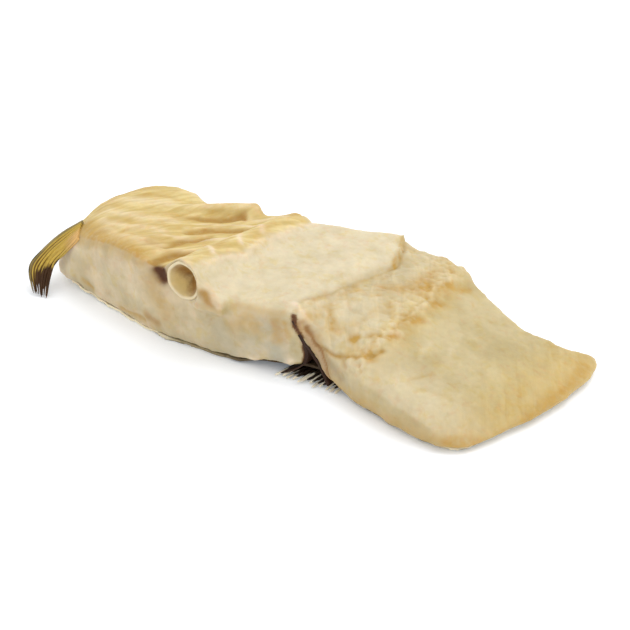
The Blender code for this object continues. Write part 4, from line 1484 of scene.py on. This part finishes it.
@dataclass(frozen=True)
class SkinFinish:
    """Dried skin: olive and spotted along the back, pale at the belly, with fine scales."""

    back: Colour = (0.075, 0.048, 0.024)
    side: Colour = (0.300, 0.240, 0.130)
    belly: Colour = (0.680, 0.600, 0.430)
    spot: Colour = (0.060, 0.045, 0.022)
    peel: Colour = (0.850, 0.740, 0.520)
    line: Colour = (0.620, 0.560, 0.400)

    def material(self) -> bpy.types.Material:
        """Builds the material from the skin's own attributes.

        Returns:
            The material.
        """
        made = Shader("dried_skin", Subsurface_Weight=0.05, Subsurface_Scale=0.001,
                      Specular_IOR_Level=0.2)
        mottle = made.speckle(made.places, 90.0, 4.0, 0.6, 0.6)
        spots = made.levels(made.cells(made.places, 190.0), 0.28, 0.12)
        tone = made.math("ADD", made.attribute("depth"),
                         made.levels(mottle, 0.2, 0.8, -0.22, 0.22))
        spotted = made.math("MULTIPLY", spots, made.levels(tone, 0.25, 0.7, 0.0, 0.75))
        colour = made.layers(
            self.belly, (made.levels(tone, 0.05, 0.55), self.side),
            (made.levels(tone, 0.5, 1.4), self.back), (spotted, self.spot),
            (made.attribute("line"), self.line), (made.attribute("peel"), self.peel),
        )
        scales = made.cells(made.scaled(made.places, (1.0, 0.7, 1.0)), 900.0)
        normal = made.raise_by(scales, 0.2)
        normal = made.raise_by(made.speckle(made.places, 300.0, 3.0), 0.5, normal)
        return made.finish(Base_Color=colour, Normal=normal,
                           Roughness=made.levels(mottle, 0.2, 0.8, 0.38, 0.58))


@dataclass
class Skin:
    """The skin under the flesh, thin and ragged where the knife went through."""

    levels: int = 2
    dorsal_x: float = 25.5
    lateral_reach: float = 62.0
    fray: float = 0.9
    front_pull: float = 1.1
    corner_pull: float = 7.0
    finish: SkinFinish = field(default_factory=SkinFinish)

    def build(self) -> bpy.types.Object:
        """Refines the CAD skin and frays its edges.

        Returns:
            The finished piece.
        """
        source = link("skin_base", merged_copy("skin"))
        finer = source.modifiers.new("finer", "SUBSURF")
        finer.subdivision_type = "SIMPLE"
        finer.levels = finer.render_levels = self.levels
        piece = settle(source, "cod_skin")
        form = Sculpt(piece.data)
        form.smooth(3)
        at, normals = form.at.copy(), form.normals()
        x, y, _ = at.T
        rim = ease(0.4, 0.9, np.hypot(normals[:, 0], normals[:, 1]))
        fray = self.fray * clouds(at, (5.0, 5.0, 50.0), 21, 3.0) - 0.1
        form.at[:, :2] += normals[:, :2] * (rim * fray)[:, None]
        form.at[:, 2] = np.maximum(form.at[:, 2] + 0.12 * clouds(at, 6.0, 22), 0.0)
        at_front = ease(-28.0, -36.0, y) * ease(112.0, 90.0, x)
        form.at[:, 1] += at_front * (self.front_pull + 1.3 * ease(2.0, 8.0, x))
        form.at[:, 0] += self.corner_pull * ease(-84.0, -104.0, x) * ease(-20.0, -44.0, y)
        form.write()

        away = np.abs(x - self.dorsal_x)
        back = away + 7.0 * clouds(at, (14.0, 14.0, 50.0), 23, 3.0)
        side_line = self.lateral_reach + 4 * np.sin(y / 40)
        form.paint("depth", 0.9 * ease(95.0, 10.0, away) + 0.6 * ease(38.0, 2.0, back))
        form.paint("line", 0.8 * np.exp(-(((away - side_line) / 1.3) ** 2)))
        form.paint("peel", ease(-40.0, -48.0, y) * ease(-22.0, -50.0, x) * ease(0.1, 0.5, rim))
        return dressed(piece, self.finish.material())


@dataclass
class GapLining:
    """The dark skin of the back, folded up into the gap between the flanks, taken down to near
    black partly as painted shade in the gap.
    """

    left: Path = ((1.2, 19.5), (3.8, 24.6), (7.6, 28.4), (12, 29.4), (17, 28.0), (22, 25.4),
                  (26.2, 24.3))
    right: Path = ((1.2, 40), (9, 34.6), (15.2, 30.6), (20.6, 27.6), (26.2, 24.6))
    lowest: float = 1.2
    highest: float = 26.0
    thickness: float = 0.9
    setback: float = 0.25
    depth_end: float = -17.6
    # The skin's tones taken down to near black: partly its own colour, partly painted shade in the
    # deep gap.
    finish: SkinFinish = field(default_factory=lambda: SkinFinish(
        back=(0.032, 0.013, 0.007), side=(0.050, 0.022, 0.011), belly=(0.11, 0.06, 0.03)))

    def build(self) -> bpy.types.Object:
        """Sweeps the two-layered fold back from the front cut.

        Returns:
            The finished piece.
        """
        height = np.linspace(self.lowest, self.highest, 32)
        left, right = keyed(self.left, height), keyed(self.right, height)
        wall = np.minimum(self.thickness, 0.47 * (right - left))
        outline = np.concatenate([
            np.stack([left + 0.05, height], 1), np.stack([right - 0.05, height], 1)[::-1],
            np.stack([right - wall, height - 0.1], 1),
            np.stack([left + wall, height - 0.1], 1)[::-1],
        ])
        front = keyed(Flesh.front_cut, outline[:, 0]) + self.setback
        rows = []
        for share in np.linspace(0.0, 1.0, 12):
            row = np.insert(outline, 1, front + (self.depth_end - front) * share, axis=1)
            row[:, 0] += 0.12 * np.sin(5.0 * share + 0.4 * row[:, 2])
            rows.append(row)
        piece = link("cod_gap_lining", swept("cod_gap_lining", np.array(rows)))
        form = Sculpt(piece.data)
        form.paint("depth", np.ones(len(form.at)))
        for name in ("line", "peel"):
            form.paint(name, np.zeros(len(form.at)))
        return dressed(piece, self.finish.material())


@dataclass(frozen=True)
class FinFinish:
    """A dried fin: bright rays on a dull web, with its own tints at root and rim, and tinted tips;
    the anal fin's dark ends are partly painted shade.
    """

    name: str
    ray: Colour
    web: Colour
    tip_and_shade: Colour
    rim: Colour
    root: Colour

    def material(self) -> bpy.types.Material:
        """Builds the material from the fin's own attributes.

        Returns:
            The material.
        """
        made = Shader(self.name, Subsurface_Weight=0.1, Subsurface_Scale=0.001,
                      Subsurface_Radius=(1.0, 0.6, 0.3), Specular_IOR_Level=0.15)
        grain = made.scaled(made.attribute("grain", "Vector"), (1.6, 0.12, 1.0))
        streaks = made.speckle(grain, 1.0, 3.0, 0.6)
        sway = made.levels(streaks, 0.2, 0.8, -0.25, 0.25)
        ends = made.levels(made.math("ADD", made.attribute("tip_and_shade"), sway), 0.25, 0.75)
        colour = made.layers(
            self.web, (made.attribute("ray"), self.ray), (made.attribute("rim"), self.rim),
            (ends, self.tip_and_shade), (made.attribute("root"), self.root),
        )
        colour = made.shaded(colour, made.levels(streaks, 0.25, 0.75, 0.70, 1.15))
        return made.finish(Base_Color=colour, Normal=made.raise_by(streaks, 0.35),
                           Roughness=made.levels(streaks, 0.2, 0.8, 0.36, 0.55))


def ray_recipe() -> Recipe:
    """A tree that gives fin rays their thickness.

    Returns:
        The recipe. It takes a mesh of edge chains with a thickness attribute.
    """
    recipe = Recipe("fin_rays")
    scale = recipe.input("Thickness", "Float")
    sides = recipe.input("Sides", "Int")
    lines = recipe.step("MeshToCurve", {"Mesh": recipe.start.outputs[0]})
    named = recipe.step("InputNamedAttribute", {"Name": "thickness"}, data_type="FLOAT")
    times = recipe.step("ShaderNodeMath", {0: named.outputs[0], 1: scale},
                        operation="MULTIPLY")
    outline = recipe.step("CurvePrimitiveCircle", {"Resolution": sides, "Radius": 1.0})
    solid = recipe.step("CurveToMesh", {"Curve": lines.outputs[0],
                                        "Profile Curve": outline.outputs[0],
                                        "Scale": times.outputs[0], "Fill Caps": True})
    recipe.close(solid.outputs[0])
    return recipe


def spline(places: np.ndarray, steps: int) -> np.ndarray:
    """A smooth row of points through a few places.

    Args:
        places: The places, evenly keyed from the start to the end.
        steps: How many points the row has.

    Returns:
        The row, one point each.
    """
    keys = np.linspace(0.0, 1.0, len(places))
    slopes = np.gradient(places, keys, axis=0)
    result = []
    for at in np.linspace(0.0, 1.0, steps):
        i = min(int(at * (len(keys) - 1)), len(keys) - 2)
        gap = keys[i + 1] - keys[i]
        t = (at - keys[i]) / gap
        rise = places[i + 1] - places[i]
        result.append(places[i] + rise * t * t * (3 - 2 * t)
                      + slopes[i] * gap * t * (1 - t) ** 2
                      - slopes[i + 1] * gap * t * t * (1 - t))
    return np.array(result)


@dataclass
class Fin:
    """A fin of tapered rays with a thin web between them."""

    name: str
    first_ray: Path
    last_ray: Path
    rays: int
    ray_radius: float
    web_thickness: float
    finish: FinFinish
    steps: int = 26
    taper: float = 0.62
    lowest: float = 0.5
    tip_scatter: float = 0.06
    tip_start: float = 0.5
    tip_slant: float = 0.0
    tip_fade: float = 0.3
    rim_tint: float = 0.0
    root_tint: float = 0.0
    web_reach: float = 0.92
    web_tips: float = 1.0
    seed: int = 5

    def surface(self, shares: np.ndarray) -> np.ndarray:
        """Rows of points along the fin.

        Args:
            shares: Where each row lies, from 0 at the first ray to 1 at the last.

        Returns:
            One row of points for each share.
        """
        first = spline(np.array(self.first_ray, float), self.steps)
        last = spline(np.array(self.last_ray, float), self.steps)
        return first + (last - first) * shares[:, None, None]

    def tint(self, form: Sculpt, shares: np.ndarray, along: np.ndarray, ray: np.ndarray,
             tips: float) -> None:
        """Paints the fin's attributes.

        Args:
            form: The mesh to paint.
            shares: Where each point lies from the first ray to the last.
            along: How far along its ray it lies.
            ray: How much of a ray it is.
            tips: How strongly the tips are tinted; on the anal fin that dark is partly painted
                shade.
        """
        form.paint("ray", ray)
        # The tinted ends start further out with the share; on the anal fin they are partly painted
        # shade.
        start = self.tip_start + self.tip_slant * shares
        form.paint("tip_and_shade", tips * ease(start, start + self.tip_fade, along))
        form.paint("rim", self.rim_tint * ease(0.78, 0.95, shares))
        form.paint("root", self.root_tint * ease(0.26, 0.08, along) * ease(0.7, 0.3, shares))
        form.paint("grain", np.stack([shares * 30.0, along * 26.0, np.zeros(len(along))], 1))

    def web(self) -> bpy.types.Object:
        """The thin sheet between the rays, thinner and torn towards the tips.

        Returns:
            A helper object.
        """
        across, steps = self.rays * 6 + 1, self.steps
        shares = np.linspace(0.0, 1.0, across)
        grid = self.surface(shares)
        out = np.cross(np.gradient(grid, axis=1), np.gradient(grid, axis=0))
        out /= np.linalg.norm(out, axis=2)[:, :, None]
        length = np.linspace(0.0, 1.0, steps)
        ridge = np.cos(2 * math.pi * (shares * self.rays - 0.5))
        thick = self.web_thickness * (0.8 + 0.25 * ridge[:, None]) * (1.0 - 0.5 * length)
        reach = self.web_reach + 0.06 * ridge[:, None]
        index = np.clip(length * reach * (steps - 1), 0, steps - 1.001)
        low = index.astype(int)
        part = (index - low)[:, :, None]
        order = np.arange(across)[:, None]
        grid = grid[order, low] * (1 - part) + grid[order, low + 1] * part
        grid = grid + out * 0.25 * ridge[:, None, None]
        upper, lower = grid + out * thick[:, :, None] / 2, grid - out * thick[:, :, None] / 2
        rows = np.concatenate([upper, lower[:, ::-1]], axis=1)
        mesh = swept(self.name + "_web", rows)
        along = np.tile(np.concatenate([length, length[::-1]]), across)
        spread = np.repeat(shares, 2 * steps)
        self.tint(Sculpt(mesh), spread, along, np.repeat(0.15 + 0.15 * ridge, 2 * steps),
                  self.web_tips)
        return link(self.name + "_web", mesh)

    def bars(self) -> bpy.types.Object:
        """The rays, each a chain of points with its own length and thickness.

        Returns:
            A helper object of edges alone.
        """
        rng = np.random.default_rng(self.seed)
        shares = (np.arange(self.rays) + 0.5) / self.rays
        shares = shares + rng.uniform(-0.2, 0.2, self.rays) / self.rays
        length = np.linspace(0.0, 1.0, self.steps)
        places, thick = [], []
        for row in self.surface(shares):
            stop = 1.0 - rng.uniform(0.0, self.tip_scatter)
            keys = np.linspace(0.0, stop, self.steps)
            chain = np.stack([np.interp(keys, length, row[:, k]) for k in range(3)], 1)
            chain += 0.35 * rng.standard_normal(3) * length[:, None]
            chain[:, 2] = np.maximum(chain[:, 2], self.lowest)
            places.append(chain)
            taper = (1.0 - self.taper * length) * (0.85 + 0.3 * rng.random())
            taper[-1] *= 0.3
            thick.append(self.ray_radius * taper)
        mesh = bpy.data.meshes.new(self.name + "_rays")
        edges = [(r * self.steps + i, r * self.steps + i + 1)
                 for r in range(self.rays) for i in range(self.steps - 1)]
        mesh.from_pydata(DATUM.to_row(np.concatenate(places)).tolist(), edges, [])
        form = Sculpt(mesh)
        form.paint("thickness", np.concatenate(thick) * MM)
        spread, along = np.repeat(shares, self.steps), np.tile(length, self.rays)
        self.tint(form, spread, along, np.ones(len(along)), 1.0)
        return link(self.name + "_rays", mesh)

    def build(self) -> bpy.types.Object:
        """Joins the rays and the web.

        Returns:
            The finished piece.
        """
        finish = self.finish.material()
        rays = ray_recipe().grow(self.bars(), self.name + "_bars", Thickness=1.0,
                                 Sides=10, Finish=finish)
        web = self.web()
        mesh = joined(self.name, (web.data, rays.data))
        for part in (web, rays):
            bpy.data.objects.remove(part)
        return dressed(link(self.name, mesh), finish)


@dataclass
class Studio:
    """The pale floor, the soft light and the camera at the photograph's angle."""

    azimuth: float = 42.0
    elevation: float = 32.0
    distance: float = 0.588
    lens: float = 80.0
    sensor: float = 36.0
    floor_size: float = 6.0
    floor_drop: float = 0.0002
    floor_dim: Colour = (0.950, 0.965, 0.990)
    floor_light: Colour = (0.960, 0.975, 0.995)
    sky: float = 1.14
    key_power: float = 3.0
    key_size: float = 0.7
    key_place: tuple[float, float, float] = (0.30, 0.35, 0.95)

    def camera(self) -> None:
        """Makes the camera and looks through it."""
        turn, lift = math.radians(self.azimuth), math.radians(self.elevation)
        back = Vector((math.sin(turn) * math.cos(lift), -math.cos(turn) * math.cos(lift),
                       math.sin(lift)))
        data = bpy.data.cameras.new("camera")
        data.lens, data.sensor_width = self.lens, self.sensor
        made = link("camera", data)
        made.location = Vector(DATUM.origin) + back * self.distance
        made.rotation_euler = back.to_track_quat("Z", "Y").to_euler()
        bpy.context.scene.camera = made

    def floor(self) -> None:
        """Lays the floor."""
        half, down = self.floor_size / 2.0, -self.floor_drop
        corners = [(x * half, y * half, down) for x, y in ((-1, -1), (1, -1), (1, 1), (-1, 1))]
        mesh = bpy.data.meshes.new("floor")
        mesh.from_pydata(corners, [], [(0, 1, 2, 3)])
        paper = Shader("floor_paper", Roughness=0.9, Specular_IOR_Level=0.0,
                       Emission_Color=(0.70, 0.84, 1.0, 1.0), Emission_Strength=0.075)
        tint = paper.speckle(paper.places, 900.0, 2.0)
        mesh.materials.append(paper.finish(
            Base_Color=paper.blend(tint, self.floor_dim, self.floor_light)))
        link("floor", mesh)

    def lights(self) -> None:
        """Even light from all round and one large soft lamp overhead."""
        world = bpy.data.worlds.new("studio")
        world.use_nodes = True
        ground = world.node_tree.nodes["Background"]
        ground.inputs["Color"].default_value = (1.0, 1.0, 1.0, 1.0)
        ground.inputs["Strength"].default_value = self.sky
        bpy.context.scene.world = world
        lamp = bpy.data.lights.new("key", "AREA")
        lamp.shape, lamp.size, lamp.energy = "DISK", self.key_size, self.key_power
        made, aim = link("key", lamp), Vector(self.key_place)
        made.location = Vector(DATUM.origin) + aim
        made.rotation_euler = aim.to_track_quat("Z", "Y").to_euler()

    def build(self) -> None:
        """Sets the whole studio up."""
        self.camera()
        self.floor()
        self.lights()
        bpy.context.scene.view_settings.view_transform = "Standard"


# Its dark ends, reaching furthest in along the first ray, are partly painted shade.
ANAL_FIN = Fin(
    name="cod_anal_fin", rays=8, ray_radius=0.95, web_thickness=1.0, tip_scatter=0.10,
    tip_start=0.40, tip_slant=0.45, rim_tint=0.8, root_tint=0.85,
    first_ray=((-86.0, -53.4, 26.4), (-92.2, -56.8, 18.4), (-98.2, -58.0, 11.8),
               (-98.2, -61.0, 6.2), (-94.0, -67.4, 0.9)),
    last_ray=((-92.5, -45.0, 29.6), (-99.5, -51.5, 23.8), (-105.2, -58.2, 16.6),
              (-107.6, -64.7, 9.4), (-99.6, -70.0, 0.9)),
    finish=FinFinish("dried_anal_fin", ray=(0.50, 0.335, 0.060), web=(0.15, 0.078, 0.013),
                     tip_and_shade=(0.065, 0.030, 0.012), rim=(0.21, 0.175, 0.085),
                     root=(0.70, 0.42, 0.16)),
)
DORSAL_FIN = Fin(
    name="cod_dorsal_fin", rays=12, ray_radius=0.66, web_thickness=0.7, seed=8, taper=0.2,
    tip_scatter=0.10, tip_start=0.66, tip_fade=0.12, web_reach=0.80, web_tips=0.0,
    lowest=0.72,
    first_ray=((22, -23.5, 0.95), (19.5, -33, 0.95), (17.6, -45.2, 0.9)),
    last_ray=((43, -15.5, 0.95), (44.5, -26, 0.95), (46.5, -39.5, 0.9)),
    finish=FinFinish("dried_dorsal_fin", ray=(0.045, 0.028, 0.018),
                     web=(0.030, 0.018, 0.012), tip_and_shade=(0.80, 0.72, 0.56),
                     rim=(0.05, 0.04, 0.03), root=(0.05, 0.04, 0.03)),
)


def main() -> None:
    """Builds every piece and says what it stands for."""
    logging.basicConfig(level=logging.INFO, format="%(message)s")
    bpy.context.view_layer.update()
    Studio().build()
    for maker, slot, replaced in (
        (Flesh(), "flesh", True),
        (Skin(), "skin", True),
        (GapLining(), "skin", False),
        (Backbone(), "backbone", True),
        (ANAL_FIN, "anal_fin", True),
        (DORSAL_FIN, "dorsal_fin", True),
    ):
        piece = maker.build()
        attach(piece, BODY)
        if replaced:
            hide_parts(slot)
        piece.data.calc_loop_triangles()
        log.info("%s: %d triangles, in slot %s", piece.name, len(piece.data.loop_triangles),
                 slot)


if __name__ == "__main__":
    main()
